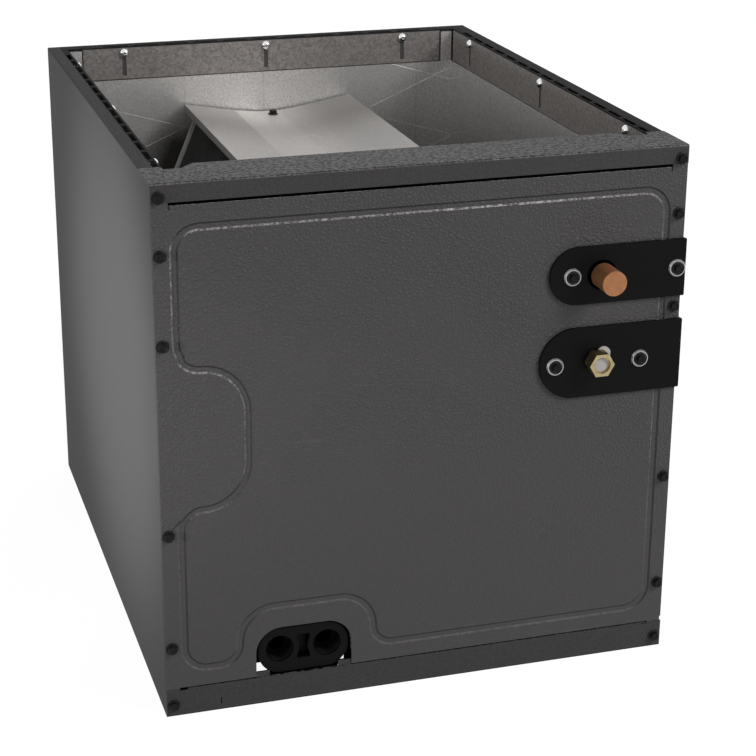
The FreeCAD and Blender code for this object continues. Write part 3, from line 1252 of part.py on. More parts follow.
def build_hex_screw(label, washer_od, flats, shank):
    """Hexagon screw along +Z, seated at its origin."""
    face = cylinder(f"{label}_face", washer_od / 2, 0.9, 0, 0, 0)
    head = hexagon(f"{label}_head", flats, d.head_height, 0, 0, 0)
    stem = cylinder(f"{label}_stem", d.screw_od / 2, shank, 0, 0, -sized(shank))
    return fused(label, [face, head, stem])


def build_screws():
    case_screw = build_hex_screw("case_screw", d.head_washer_od, d.head_flats, 6)
    plate_screw = build_hex_screw("plate_screw", d.plate_screw_washer, 6.0, 7.5)
    panel = [((-screw_x, front, z), TO_FRONT) for z in left_screws]
    panel += [((screw_x, front, z), TO_FRONT) for z in right_screws]
    rails = [((x, front, z), TO_FRONT) for x in (-screw_x, screw_x) for z in rail_screws]
    seat = plate_face - 0.5
    lines = [((x, seat, z), TO_FRONT) for x, z in plate_screws]
    tab = [((d.cap_screw_x, sheet_rear + d.cap_screw_back, d.cap_valley_z), Rotation())]
    cap_screw = build_hex_screw("tab_screw", d.head_washer_od, d.head_flats, 6)
    return [scattered("panel_screws", case_screw, panel), scattered("rail_screws", case_screw, rails),
            scattered("plate_screws", plate_screw, lines), scattered("cap_screw", cap_screw, tab)]


def build_flange_screws():
    """Pan-head screws that clamp the duct flanges through their slots."""
    radius = d.strip_screw_od / 2
    face = cylinder("clamp_face", radius, 1.2, 0, 0, 0)
    head = cone("clamp_head", radius - 0.3, radius - 1.5, 2.6, 0, 0, 1.2)
    stem = cylinder("clamp_stem", d.screw_od / 2, 6, 0, 0, -6)
    screw = fused("clamp_screw", [face, head, stem])
    seat = rim_x - d.thin_gauge
    places = [((seat, y, d.strip_screw_z), TO_LEFT) for y in strip_screws_y]
    places += [((-seat, y, d.strip_screw_z), TO_RIGHT) for y in strip_screws_y]
    places += [((x, rim_rear - d.thin_gauge, d.strip_screw_z), TO_FRONT) for x in strip_screws_x]
    return scattered("flange_screws", screw, places)


suction_holes = [(d.suction_x, d.suction_z, line_radius + d.fit_gap)]
suction_holes += [(x, z, screw_hole) for x, z in plate_screws[:2]]
liquid_holes = [(d.liquid_x, d.liquid_z, tube_radius + d.fit_gap)]
liquid_holes += [(x, z, screw_hole) for x, z in plate_screws[2:]]

nodes = [
    build_case_wrapper(),
    build_top_front_rail(),
    build_bottom_front_rail(),
    build_access_panel(),
    build_insulation(-1, "insulation_left"),
    build_insulation(1, "insulation_right"),
    build_insulation_back(),
    build_insulation_panel(),
    build_side_flange(-1, "duct_flange_left"),
    build_side_flange(1, "duct_flange_right"),
    build_back_flange(),
    build_cap(),
    build_delta_plate(sheet_front - d.thin_gauge, "delta_plate_front"),
    build_delta_plate(sheet_rear, "delta_plate_rear", True),
    build_fin_pack(-1, "fin_pack_left"),
    build_fin_pack(1, "fin_pack_right"),
    build_tube_sheet(-1, sheet_front, "tube_sheet_front_left"),
    build_tube_sheet(1, sheet_front, "tube_sheet_front_right"),
    build_tube_sheet(-1, d.coil_back, "tube_sheet_rear_left"),
    build_tube_sheet(1, d.coil_back, "tube_sheet_rear_right"),
    build_hairpins(-1, "hairpin_tubes_left"),
    build_hairpins(1, "hairpin_tubes_right"),
    build_return_bends(-1, "return_bends_left"),
    build_return_bends(1, "return_bends_right"),
    build_drain_pan(),
    build_pan_rail(-1, "pan_rail_left"),
    build_pan_rail(1, "pan_rail_right"),
    build_suction_header(),
    build_suction_branches(),
    build_liquid_line(),
    build_liquid_fitting(),
    build_plug(),
    build_bushing(),
    build_expansion_valve(),
    build_power_head(),
    build_distributor(),
    build_feeders(),
    build_sensing_bulb(),
    build_bulb_strap(),
    build_line_plate("suction_line_plate", d.suction_plate_left, d.suction_plate_z, d.suction_plate_height,
                     suction_holes),
    build_line_plate("liquid_line_plate", d.liquid_plate_left, d.liquid_plate_z, d.liquid_plate_height,
                     liquid_holes),
    build_plate_washers(),
    build_flange_screws(),
] + build_screws()

doc.recompute()

# Nothing is written unless every object built and every pocket removed metal
for item in doc.Objects:
    if "Invalid" in item.State or "Error" in item.State:
        raise RuntimeError(f"{item.Name} failed: {item.State}")
    removes = item.TypeId in ("PartDesign::Pocket", "PartDesign::SubtractivePipe")
    if removes and item.Shape.Volume > item.BaseFeature.Shape.Volume - 0.01:
        raise RuntimeError(f"{item.Name} removed nothing")
for item in nodes:
    if item.Shape.isNull() or not item.Shape.isValid() or not item.Shape.Solids:
        raise RuntimeError(f"{item.Label} has no valid solid")

os.makedirs("parts", exist_ok=True)
for item in nodes:
    item.Shape.exportStep(f"parts/{item.Label}.step")
    print(f"{item.Label}: {len(item.Shape.Solids)} solids, {item.Shape.Volume / 1000:.1f} cm3")
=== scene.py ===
"""Dresses the cased evaporator coil: finishes for every part, and the fins, fasteners and fittings in detail.

Everything is in metres. X runs to the right, Y into the depth and Z up, from the centre of the open base.
"""

import logging
import math
from dataclasses import dataclass
from enum import Enum
from typing import Callable, Iterable, Self, Sequence

import bmesh
import bpy
from mathutils import Matrix, Vector


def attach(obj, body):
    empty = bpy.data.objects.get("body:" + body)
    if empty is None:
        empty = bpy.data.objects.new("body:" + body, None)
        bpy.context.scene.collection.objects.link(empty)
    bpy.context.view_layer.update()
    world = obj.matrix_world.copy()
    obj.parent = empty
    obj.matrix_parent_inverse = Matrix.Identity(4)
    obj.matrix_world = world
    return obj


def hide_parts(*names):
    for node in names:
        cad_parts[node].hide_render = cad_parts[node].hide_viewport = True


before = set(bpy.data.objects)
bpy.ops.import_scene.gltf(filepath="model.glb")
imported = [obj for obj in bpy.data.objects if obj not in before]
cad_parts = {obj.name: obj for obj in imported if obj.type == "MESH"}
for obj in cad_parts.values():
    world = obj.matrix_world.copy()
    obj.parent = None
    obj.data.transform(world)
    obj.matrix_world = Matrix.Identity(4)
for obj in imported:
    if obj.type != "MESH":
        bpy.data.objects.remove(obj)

log = logging.getLogger("evaporator_coil")

MM = 0.001
CASE_FRONT = -273.05 * MM
CASE_HALF_WIDTH = 222.25 * MM
CASE_TOP = 457.2 * MM

Colour = tuple[float, float, float]
Socket = bpy.types.NodeSocket
Node = bpy.types.Node
Outputs = bpy.types.bpy_prop_collection


class Wiring:
    """Adds nodes to one node tree and joins them, so that a finish reads like a recipe."""

    def __init__(self, tree: bpy.types.NodeTree) -> None:
        """Starts on an empty node tree."""
        self.tree = tree

    @classmethod
    def of(cls, owner: bpy.types.Material | bpy.types.World) -> Self:
        """The wiring of a material or a world, whose tree is emptied first."""
        owner.use_nodes = True
        owner.node_tree.nodes.clear()
        return cls(owner.node_tree)

    def node(self, kind: str, inputs: dict[str | int, object] | None = None, **settings: object) -> Node:
        """Adds one node.

        Args:
            kind: The node's type.
            inputs: Values or sockets for its inputs, by name or number.
            settings: The node's own properties.

        Returns:
            The new node.
        """
        made = self.tree.nodes.new(kind)
        for name, value in settings.items():
            setattr(made, name, value)
        for name, value in (inputs or {}).items():
            self.feed(made.inputs[name], value)
        return made

    def feed(self, socket: Socket, value: object) -> None:
        """Joins a socket to another one, or sets its value."""
        if isinstance(value, Socket):
            self.tree.links.new(value, socket)
        else:
            socket.default_value = value

    def maths(self, operation: str, *values: object) -> Socket:
        """One maths node on numbers or sockets, and its result."""
        return self.node("ShaderNodeMath", dict(enumerate(values)), operation=operation).outputs[0]

    def times(self, first: object, second: object) -> Socket:
        """One value times another."""
        return self.maths("MULTIPLY", first, second)

    def plus(self, first: object, second: object) -> Socket:
        """The sum of two values."""
        return self.maths("ADD", first, second)

    def larger(self, first: object, second: object) -> Socket:
        """The larger of two values."""
        return self.maths("MAXIMUM", first, second)

    def vector_maths(self, operation: str, inputs: dict[str | int, object]) -> Socket:
        """One vector maths node, and its result."""
        return self.node("ShaderNodeVectorMath", inputs, operation=operation).outputs[0]

    def spread(self, value: object, low: float, high: float, to_low: float = 0.0, to_high: float = 1.0,
               smooth: bool = False) -> Socket:
        """Maps a range of values onto another.

        Args:
            value: The socket to map.
            low: Where the range starts.
            high: Where it ends.
            to_low: The result at the start.
            to_high: The result at the end.
            smooth: Eases in and out.

        Returns:
            The mapped value.
        """
        made = self.node("ShaderNodeMapRange", {"Value": value, "From Min": low, "From Max": high,
                                                "To Min": to_low, "To Max": to_high},
                         interpolation_type="SMOOTHSTEP" if smooth else "LINEAR")
        return made.outputs["Result"]

    def blend(self, factor: object, first: object, second: object) -> Socket:
        """Mixes two colours."""
        return self.node("ShaderNodeMix", {0: factor, 6: first, 7: second}, data_type="RGBA").outputs[2]

    def mix(self, factor: Socket, first: Node, second: Node) -> Node:
        """Mixes two shaders."""
        return self.node("ShaderNodeMixShader", {0: factor, 1: first.outputs[0], 2: second.outputs[0]})

    def clouds(self, vector: Socket, scale: object, detail: float = 3.0, roughness: float = 0.5,
               distortion: float = 0.0) -> Socket:
        """Cloudy noise between 0 and 1."""
        made = self.node("ShaderNodeTexNoise", {"Vector": vector, "Scale": scale, "Detail": detail,
                                                "Roughness": roughness, "Distortion": distortion})
        return made.outputs[0]

    def axes(self, vector: Socket) -> tuple[Socket, Socket, Socket]:
        """The X, Y and Z of a place or a direction."""
        made = self.node("ShaderNodeSeparateXYZ", {"Vector": vector})
        return made.outputs["X"], made.outputs["Y"], made.outputs["Z"]

    def stretched(self, vector: Socket, scale: Sequence[float]) -> Socket:
        """A place stretched along the axes by a Mapping node."""
        return self.node("ShaderNodeMapping", {"Vector": vector, "Scale": scale}).outputs[0]


class Coat(Wiring):
    """The wiring of one material, with its shader and the place on the object in metres."""

    def __init__(self, tree: bpy.types.NodeTree) -> None:
        """Adds the shader and the place to an empty node tree."""
        super().__init__(tree)
        self.shader = self.node("ShaderNodeBsdfPrincipled")
        self.node("ShaderNodeOutputMaterial", {"Surface": self.shader.outputs[0]})
        self.place = self.node("ShaderNodeTexCoord").outputs["Object"]

    def give(self, name: str, value: object) -> None:
        """Joins one input of the shader to a socket, or sets its value."""
        self.feed(self.shader.inputs[name], value)

    def vary_roughness(self, value: Socket, middle: float, swing: float, low: float = 0.3,
                       high: float = 0.7) -> None:
        """Makes the surface roughest at a low value and smoothest at a high one."""
        self.give("Roughness", self.spread(value, low, high, middle + swing, middle - swing))

    def emboss(self, height: Socket, distance: float, strength: object = 1.0) -> None:
        """Raises and sinks the surface by a height."""
        bump = self.node("ShaderNodeBump", {"Height": height, "Distance": distance, "Strength": strength})
        self.give("Normal", bump.outputs[0])


class Pattern(Enum):
    """The patterns that several finishes share, each one a node group."""

    GRAIN = "Leather grain"
    SPANGLE = "Zinc spangle"
    SCRIM = "Liner scrim"
    CREASES = "Foil creases"
    HANDLING = "Handling marks"
    TARNISH = "Tarnish"


class PatternBook:
    """Builds each shared pattern once and places it in the finishes."""

    def __init__(self) -> None:
        """Starts with no group built."""
        self.groups: dict[Pattern, bpy.types.NodeTree] = {}
        self.recipes: dict[Pattern, Callable[[Wiring, Socket, Socket], dict[str, Socket]]] = {
            Pattern.GRAIN: self._grain,
            Pattern.SPANGLE: self._spangle,
            Pattern.SCRIM: self._scrim,
            Pattern.CREASES: self._creases,
            Pattern.HANDLING: self._handling,
            Pattern.TARNISH: self._tarnish,
        }

    def place(self, coat: Coat, pattern: Pattern, size: float, amount: float = 1.0) -> Outputs:
        """Places a pattern in a coat.

        Args:
            coat: The coat.
            pattern: Which pattern.
            size: The size of its marks in metres.
            amount: How much of it there is.

        Returns:
            The group's results, by name.
        """
        if pattern not in self.groups:
            self.groups[pattern] = self._build(pattern)
        return coat.node("ShaderNodeGroup", {"Vector": coat.place, "Size": size, "Amount": amount},
                         node_tree=self.groups[pattern]).outputs

    def _build(self, pattern: Pattern) -> bpy.types.NodeTree:
        """Builds one group with its named inputs and outputs, the first one scaled by the amount."""
        tree = bpy.data.node_groups.new(pattern.value, "ShaderNodeTree")
        tree.interface.new_socket(name="Vector", in_out="INPUT", socket_type="NodeSocketVector")
        for name in ("Size", "Amount"):
            tree.interface.new_socket(name=name, in_out="INPUT", socket_type="NodeSocketFloat")
        wiring = Wiring(tree)
        entry = wiring.node("NodeGroupInput").outputs
        rate = wiring.maths("DIVIDE", 1.0, entry["Size"])
        results = self.recipes[pattern](wiring, entry["Vector"], rate)
        first = next(iter(results))
        results[first] = wiring.times(results[first], entry["Amount"])
        for name in results:
            tree.interface.new_socket(name=name, in_out="OUTPUT", socket_type="NodeSocketFloat")
        wiring.node("NodeGroupOutput", results)
        return tree

    @staticmethod
    def _bent(wiring: Wiring, place: Socket, rate: Socket, strength: float) -> Socket:
        """The place pushed about by noise, so that no cell has straight sides."""
        noise = wiring.node("ShaderNodeTexNoise", {"Vector": place, "Scale": rate, "Detail": 2.0})
        centred = wiring.vector_maths("SUBTRACT", {0: noise.outputs["Color"], 1: (0.5, 0.5, 0.5)})
        push = wiring.vector_maths("SCALE", {0: centred, "Scale": wiring.maths("DIVIDE", strength, rate)})
        return wiring.vector_maths("ADD", {0: place, 1: push})

    def _grain(self, wiring: Wiring, place: Socket, rate: Socket) -> dict[str, Socket]:
        """Pebbles with creases between them, as on textured paint."""
        bent = self._bent(wiring, place, rate, 1.1)
        cells = wiring.node("ShaderNodeTexVoronoi", {"Vector": bent, "Scale": rate},
                            feature="DISTANCE_TO_EDGE")
        pebble = wiring.spread(cells.outputs["Distance"], 0.0, 0.32, smooth=True)
        fine = wiring.clouds(place, wiring.times(rate, 2.3), 2.0)
        broad = wiring.clouds(place, wiring.times(rate, 0.35), 2.0)
        height = wiring.plus(wiring.times(pebble, 0.6), wiring.times(fine, 0.55))
        return {"Height": wiring.plus(height, wiring.times(broad, 0.5)), "Crest": pebble, "Fine": fine}

    def _spangle(self, wiring: Wiring, place: Socket, rate: Socket) -> dict[str, Socket]:
        """Zinc crystals, each with its own tone."""
        bent = self._bent(wiring, place, rate, 0.8)
        cells = wiring.node("ShaderNodeTexVoronoi", {"Vector": bent, "Scale": rate})
        tone = wiring.node("ShaderNodeSeparateColor", {"Color": cells.outputs["Color"]}).outputs[0]
        fine = wiring.clouds(place, wiring.times(rate, 3.0), 4.0, 0.65)
        return {"Tone": wiring.plus(wiring.times(tone, 0.55), wiring.times(fine, 0.45)), "Fine": fine}

    def _scrim(self, wiring: Wiring, place: Socket, rate: Socket) -> dict[str, Socket]:
        """Threads laid in slanting families under the facing, with upright fold lines."""
        across, deep, up = wiring.axes(place)
        along = wiring.plus(across, deep)

        def threads(slope: float, pitch: float, width: float) -> Socket:
            """One family of parallel threads."""
            lift = wiring.plus(up, wiring.times(along, slope))
            count = wiring.times(wiring.times(lift, rate), 1.0 / pitch)
            away = wiring.maths("PINGPONG", count, 0.5)
            return wiring.spread(away, width * 0.35, width, 1.0, 0.0, smooth=True)

        lattice = wiring.larger(threads(0.30, 0.8, 0.011), threads(-0.42, 1.0, 0.010))
        upright = wiring.maths("PINGPONG", wiring.times(wiring.times(along, rate), 0.9), 0.5)
        folds = wiring.spread(upright, 0.004, 0.014, 1.0, 0.0, smooth=True)
        worn = wiring.clouds(place, wiring.times(rate, 0.8), 2.0)
        return {"Threads": wiring.times(lattice, wiring.spread(worn, 0.38, 0.6, 0.15, 1.0)), "Folds": folds}

    def _creases(self, wiring: Wiring, place: Socket, rate: Socket) -> dict[str, Socket]:
        """Sharp little creases and dents of crumpled foil."""
        coarse = wiring.clouds(place, rate, 4.0, 0.6, 0.6)
        ridge = wiring.maths("ABSOLUTE", wiring.maths("SUBTRACT", coarse, 0.5))
        fine = wiring.clouds(place, wiring.times(rate, 6.0), 3.0, 0.6)
        return {"Height": wiring.plus(wiring.times(ridge, 1.4), wiring.times(fine, 0.35)), "Fine": fine}

    def _handling(self, wiring: Wiring, place: Socket, rate: Socket) -> dict[str, Socket]:
        """Faint rubs and short scratches left by handling."""
        rubs = wiring.spread(wiring.clouds(place, wiring.times(rate, 0.12), 3.0, 0.6), 0.52, 0.75)
        long_marks = wiring.stretched(place, (0.12, 0.12, 1.0))
        scratch = wiring.clouds(long_marks, wiring.times(rate, 1.6), 2.0, 0.5, 0.3)
        return {"Marks": wiring.times(wiring.spread(scratch, 0.66, 0.72), rubs), "Rubs": rubs}

    def _tarnish(self, wiring: Wiring, place: Socket, rate: Socket) -> dict[str, Socket]:
        """Patches and specks of oxide on bare metal."""
        patches = wiring.spread(wiring.clouds(place, rate, 5.0, 0.65, 0.4), 0.42, 0.68)
        specks = wiring.spread(wiring.clouds(place, wiring.times(rate, 7.0), 2.0), 0.6, 0.7)
        return {"Patches": wiring.larger(patches, wiring.times(specks, 0.7))}


BOOK = PatternBook()


@dataclass(frozen=True)
class Finish:
    """What every finish has: a name, the record's slot, its plain colour and its roughness."""

    name: str
    slot: str
    colour: Colour
    roughness: float

    def material(self) -> bpy.types.Material:
        """The material, built when it is first asked for."""
        made = bpy.data.materials.get(self.name)
        if made is None:
            made = bpy.data.materials.new(self.name)
            self.work_in(Coat.of(made))
        return made

    def work_in(self, coat: Coat) -> None:
        """Works the finish's own nodes into the coat."""
        raise NotImplementedError

    def tint(self, factor: float) -> tuple[float, float, float, float]:
        """The finish's colour, lighter or darker."""
        return (*(min(1.0, part * factor) for part in self.colour), 1.0)


@dataclass(frozen=True)
class TexturedPaint(Finish):
    """Baked paint with a leather grain, as on the access panel and the rails."""

    grain: float
    depth: float
    contrast: float
    top_sparkle: float = 0.0
    specks: float = 0.3
    calm_below: float = 0.0
    glint: float = 7.0
    sheen: float = 0.22

    def work_in(self, coat: Coat) -> None:
        """Grain in the height and a little in the tone, calmer low down."""
        high = coat.axes(coat.place)[2]
        grain = BOOK.place(coat, Pattern.GRAIN, self.grain)
        marks = BOOK.place(coat, Pattern.HANDLING, 0.012, 0.5)
        crest = coat.blend(grain["Crest"], self.tint(1.0 - self.contrast),
                           self.tint(1.0 + self.contrast * 0.5))
        speck = coat.times(coat.spread(grain["Fine"], 0.62, 0.78), self.specks)
        tone = self.shaded(coat, high, coat.blend(speck, crest, self.tint(1.6)))
        coat.give("Base Color", coat.blend(marks["Marks"], tone, self.tint(1.7)))
        coat.vary_roughness(grain["Fine"], self.roughness, 0.07)
        calm = coat.spread(high, self.calm_below - 0.12, self.calm_below + 0.06, 0.3, 1.0)
        uneven = coat.spread(coat.clouds(coat.place, 14.0, 2.0), 0.35, 0.62, 0.65, 1.0)
        coat.emboss(grain["Height"], self.depth, coat.times(calm, uneven))
        coat.give("Specular IOR Level", self.sheen)

    def shaded(self, coat: Coat, high: Socket, plain: Socket) -> Socket:
        """The paint's tone: plain on upright faces, painted glints and painted shade on sloping walls,
        painted sparkle on top.
        """
        # Painted light by facing: sparkle on faces that look up, glints on walls that look up or right, shade
        # on walls that look down or left.
        side, _, lift = coat.axes(coat.node("ShaderNodeNewGeometry").outputs["True Normal"])
        flat_top = coat.spread(lift, 0.6, 0.8, 0.0, self.top_sparkle)
        ledge = coat.spread(lift, 0.12, 0.34)
        under = coat.spread(lift, -0.12, -0.34)
        lit_side = coat.spread(side, 0.12, 0.34, 0.0, 0.55)
        dark_side = coat.spread(side, -0.12, -0.34, 0.0, 0.8)
        coarse = coat.clouds(coat.place, 300.0, 4.0, 0.75)
        painted_sparkle = coat.blend(coat.spread(coarse, 0.44, 0.57), self.tint(0.05), self.tint(1.45))
        glints = coat.blend(coat.spread(coarse, 0.42, 0.6), self.tint(1.3), self.tint(self.glint))
        bright = coat.times(coat.larger(ledge, lit_side), coat.spread(high, 0.1, 0.4, 0.12, 1.0))
        patchy = coat.spread(coat.clouds(coat.place, 28.0, 2.0), 0.35, 0.6, 0.45, 1.0)
        pale = coat.blend(coat.times(bright, patchy), plain, glints)
        groove = coat.blend(coat.larger(under, dark_side), pale, self.tint(0.35))
        return coat.blend(flat_top, groove, painted_sparkle)


@dataclass(frozen=True)
class SatinPaint(Finish):
    """Smooth satin paint of the folded case."""

    rim: float = CASE_TOP - 1.0 * MM
    slots_x: float = CASE_HALF_WIDTH - 11.45 * MM
    slots_y: float = -CASE_FRONT - 11.55 * MM
    fade: float = 0.6 * MM

    def work_in(self, coat: Coat) -> None:
        """A faint orange peel and soft blotches, with a darker, mottled top flange."""
        peel = BOOK.place(coat, Pattern.GRAIN, 0.0016, 0.5)
        marks = BOOK.place(coat, Pattern.HANDLING, 0.02, 0.3)
        base = coat.blend(coat.clouds(coat.place, 5.0, 2.0), self.tint(0.97), self.tint(1.03))
        fine = coat.blend(coat.spread(peel["Fine"], 0.35, 0.65, 0.0, 0.5), base, self.tint(1.08))
        tone = self.rimmed(coat, fine)
        coat.give("Base Color", coat.blend(marks["Marks"], tone, self.tint(1.2)))
        coat.give("Roughness", self.roughness)
        coat.emboss(peel["Height"], 0.00003)
        coat.give("Specular IOR Level", 0.03)

    def rimmed(self, coat: Coat, plain: Socket) -> Socket:
        """The paint's tone, darker and mottled on the top flange and darkest beyond its slots."""
        across, deep, high = coat.axes(coat.place)
        flange = coat.spread(high, self.rim, self.rim + 0.5 * MM)
        flange_noise = coat.clouds(coat.place, 420.0, 4.0, 0.7)
        wander = coat.times(coat.maths("SUBTRACT", flange_noise, 0.5), 6.0 * MM)
        outward = coat.plus(coat.maths("ABSOLUTE", across), wander)
        beside = coat.spread(outward, self.slots_x - self.fade, self.slots_x + self.fade)
        rearward = coat.plus(deep, wander)
        behind = coat.spread(rearward, self.slots_y - self.fade, self.slots_y + self.fade, 0.0, 0.2)
        left = coat.spread(across, -0.2, -0.19, 1.0, 0.22)
        # The top flange gets a darker mottle, near black outward of its slots, most of all on the left.
        dust = coat.blend(coat.spread(flange_noise, 0.35, 0.65), self.tint(0.2), self.tint(0.9))
        outer = coat.blend(coat.times(coat.larger(beside, behind), left), self.tint(0.03), dust)
        return coat.blend(flange, plain, outer)


@dataclass(frozen=True)
class ZincSheet(Finish):
    """Galvanised sheet with a quiet spangle."""

    metallic: float
    spangle: float
    contrast: float

    def work_in(self, coat: Coat) -> None:
        """Crystals in the tone and the roughness, white rust in the rubs."""
        zinc = BOOK.place(coat, Pattern.SPANGLE, self.spangle)
        marks = BOOK.place(coat, Pattern.HANDLING, 0.01, 0.6)
        tone = coat.blend(zinc["Tone"], self.tint(1.0 - self.contrast), self.tint(1.0 + self.contrast))
        tone = coat.blend(marks["Marks"], tone, self.tint(1.5))
        # Painted shade: where the mask is high the tone is darkened, as the unlit side of a fold would be.
        coat.give("Base Color", coat.blend(self.painted_shade(coat), tone, self.tint(0.1)))
        coat.vary_roughness(zinc["Tone"], self.roughness, 0.06, 0.2, 0.8)
        coat.give("Metallic", self.metallic)
        coat.emboss(zinc["Fine"], 0.00003)

    def painted_shade(self, coat: Coat) -> object:
        """How much painted shade darkens the sheet at a place, from 0 to 1."""
        return 0.0


@dataclass(frozen=True)
class DishedZinc(ZincSheet):
    """Zinc sheet of the cap, with painted shade on its left wing and towards the right."""

    fold: float = -35.5 * MM
    fold_width: float = 1.2 * MM

    def painted_shade(self, coat: Coat) -> Socket:
        """Painted shade on the wing left of the fold, fading to the front, and painted shade slowly growing
        to the right.
        """
        across, deep, _ = coat.axes(coat.place)
        fade = coat.spread(deep, 0.08, 0.2, 0.3, 1.0)
        wing = coat.spread(across, self.fold - self.fold_width, self.fold + self.fold_width, 0.46, 0.0)
        right = coat.spread(across, -0.01, 0.065, 0.0, 0.42, smooth=True)
        return coat.plus(coat.times(fade, wing), right)


@dataclass(frozen=True)
class FoilFacing(Finish):
    """Foil facing of the liner, with reinforcing threads showing through."""

    lean: float = 0.422
    slab_edge: float = 0.25
    shade_end: float = 0.284

    def work_in(self, coat: Coat) -> None:
        """Crumpled foil with bright threads and dark fold lines, and painted shade beside the left slab."""
        foil = BOOK.place(coat, Pattern.CREASES, 0.013)
        scrim = BOOK.place(coat, Pattern.SCRIM, 0.075)
        base = coat.blend(coat.spread(foil["Fine"], 0.38, 0.62), self.tint(0.8), self.tint(1.15))
        folded = coat.blend(coat.times(scrim["Folds"], 0.3), base, self.tint(0.5))
        threads = coat.times(scrim["Threads"], 0.35)
        clean = coat.blend(threads, folded, self.tint(1.8))
        # Painted shade: the rear liner is darkened beside the left slab, where the slab's shadow falls.
        coat.give("Base Color", coat.blend(self.slab_shade(coat), clean, self.tint(0.03)))
        coat.vary_roughness(foil["Fine"], self.roughness, 0.08)
        coat.give("Metallic", coat.spread(threads, 0.0, 1.0, 0.85, 0.35))
        coat.emboss(coat.plus(foil["Height"], coat.times(scrim["Threads"], 0.5)), 0.0005, 0.45)

    def slab_shade(self, coat: Coat) -> Socket:
        """How much painted shade darkens the rear liner close to the leaning outer face of the left slab."""
        across, deep, high = coat.axes(coat.place)
        beside = coat.maths("SUBTRACT", coat.times(high, self.lean), across)
        rear_left = coat.times(coat.spread(across, -0.08, -0.07, 1.0, 0.0), coat.spread(deep, 0.2, 0.21))
        near = coat.times(coat.spread(beside, self.slab_edge, self.shade_end, 0.9, 0.0), rear_left)
        return coat.times(near, coat.spread(high, 0.355, 0.392, 1.0, 0.0))


@dataclass(frozen=True)
class BareMetal(Finish):
    """Copper, brass, aluminium and bright steel, with tarnish in patches."""

    dull: Colour
    patch: float
    tarnish: float = 0.5
    drawn: tuple[float, float, float] = (1.0, 1.0, 1.0)
    metallic: float = 1.0

    def work_in(self, coat: Coat) -> None:
        """Metal with oxide patches and the fine lines that its making leaves."""
        oxide = BOOK.place(coat, Pattern.TARNISH, self.patch, self.tarnish)["Patches"]
        lines = coat.clouds(coat.stretched(coat.place, self.drawn), 900.0, 2.0, 0.6)
        base = coat.blend(lines, self.tint(0.88), self.tint(1.1))
        coat.give("Base Color", coat.blend(oxide, base, (*self.dull, 1.0)))
        rough = coat.spread(lines, 0.25, 0.75, self.roughness - 0.05, self.roughness + 0.07)
        coat.give("Roughness", coat.plus(rough, coat.times(oxide, 0.25)))
        coat.give("Metallic", self.metallic)
        coat.emboss(lines, 0.00002)


@dataclass(frozen=True)
class MouldedPlastic(Finish):
    """Moulded plastic, foam, or the dull black coating of the plates and screws."""

    sparkle: float = 0.0008
    depth: float = 0.00004
    mark: float = 1.6
    gloss: float = 0.08

    def work_in(self, coat: Coat) -> None:
        """A spark-eroded texture with dust in the rubs."""
        grain = BOOK.place(coat, Pattern.GRAIN, self.sparkle)
        marks = BOOK.place(coat, Pattern.HANDLING, 0.009, 0.8)
        base = coat.blend(grain["Fine"], self.tint(0.82), self.tint(1.2))
        dusty = coat.blend(coat.times(marks["Rubs"], 0.25), base, self.tint(self.mark))
        coat.give("Base Color", coat.blend(marks["Marks"], dusty, self.tint(self.mark * 1.4)))
        coat.vary_roughness(grain["Fine"], self.roughness, 0.06)
        coat.emboss(grain["Height"], self.depth)
        coat.give("Specular IOR Level", self.gloss)


PANEL_PAINT = TexturedPaint("grained_panel_paint", "painted_case", (0.089, 0.0845, 0.086), 0.46,
                            grain=0.0034, depth=0.0009, contrast=0.06, specks=0.0, calm_below=0.2)
RAIL_PAINT = TexturedPaint("grained_rail_paint", "painted_case", (0.083, 0.0792, 0.0808), 0.46,
                           grain=0.0022, depth=0.00022, contrast=0.16, top_sparkle=1.0, glint=3.0, sheen=0.07)
CASE_PAINT = SatinPaint("satin_case_paint", "painted_case", (0.093, 0.0905, 0.0915), 0.6)
ZINC = ZincSheet("galvanised_sheet", "galvanised", (0.26, 0.241, 0.231), 0.55,
                 metallic=0.6, spangle=0.0022, contrast=0.5)
# Painted highlight: the tube sheets get a lighter copy of the zinc, so that their edges show as bright lines.
HIGHLIGHT_ZINC = ZincSheet("highlighted_edge_sheet", "galvanised", (0.66, 0.65, 0.62), 0.4,
                      metallic=0.3, spangle=0.0022, contrast=0.15)
CAP_ZINC = DishedZinc("galvanised_cap", "galvanised", (0.42, 0.4, 0.385), 0.45,
                      metallic=0.6, spangle=0.0012, contrast=0.1)
FOIL = FoilFacing("foil_liner_facing", "foil_liner", (0.68, 0.665, 0.65), 0.42)
# Painted shade: the fins are kept near black to stand in for the shade deep in the slabs, though real fins
# are bright.
SHADE_DARKENED_FINS = BareMetal("shade_darkened_aluminium_fins", "fins", (0.16, 0.16, 0.16), 0.5,
                      dull=(0.08, 0.08, 0.08), patch=0.03, tarnish=0.35, drawn=(0.1, 1.0, 0.1))
COPPER = BareMetal("copper_tube", "copper", (0.43, 0.185, 0.078), 0.38,
                   dull=(0.24, 0.1, 0.045), patch=0.012, metallic=0.55)
# Painted shade: the hairpins and return bends are darkened copper, standing in for the shade at the rear of
# the slabs.
SHADE_DARKENED_COPPER = BareMetal("shade_darkened_copper_tube", "copper", (0.11, 0.06, 0.035), 0.45,
                        dull=(0.05, 0.03, 0.02), patch=0.012, metallic=0.5)
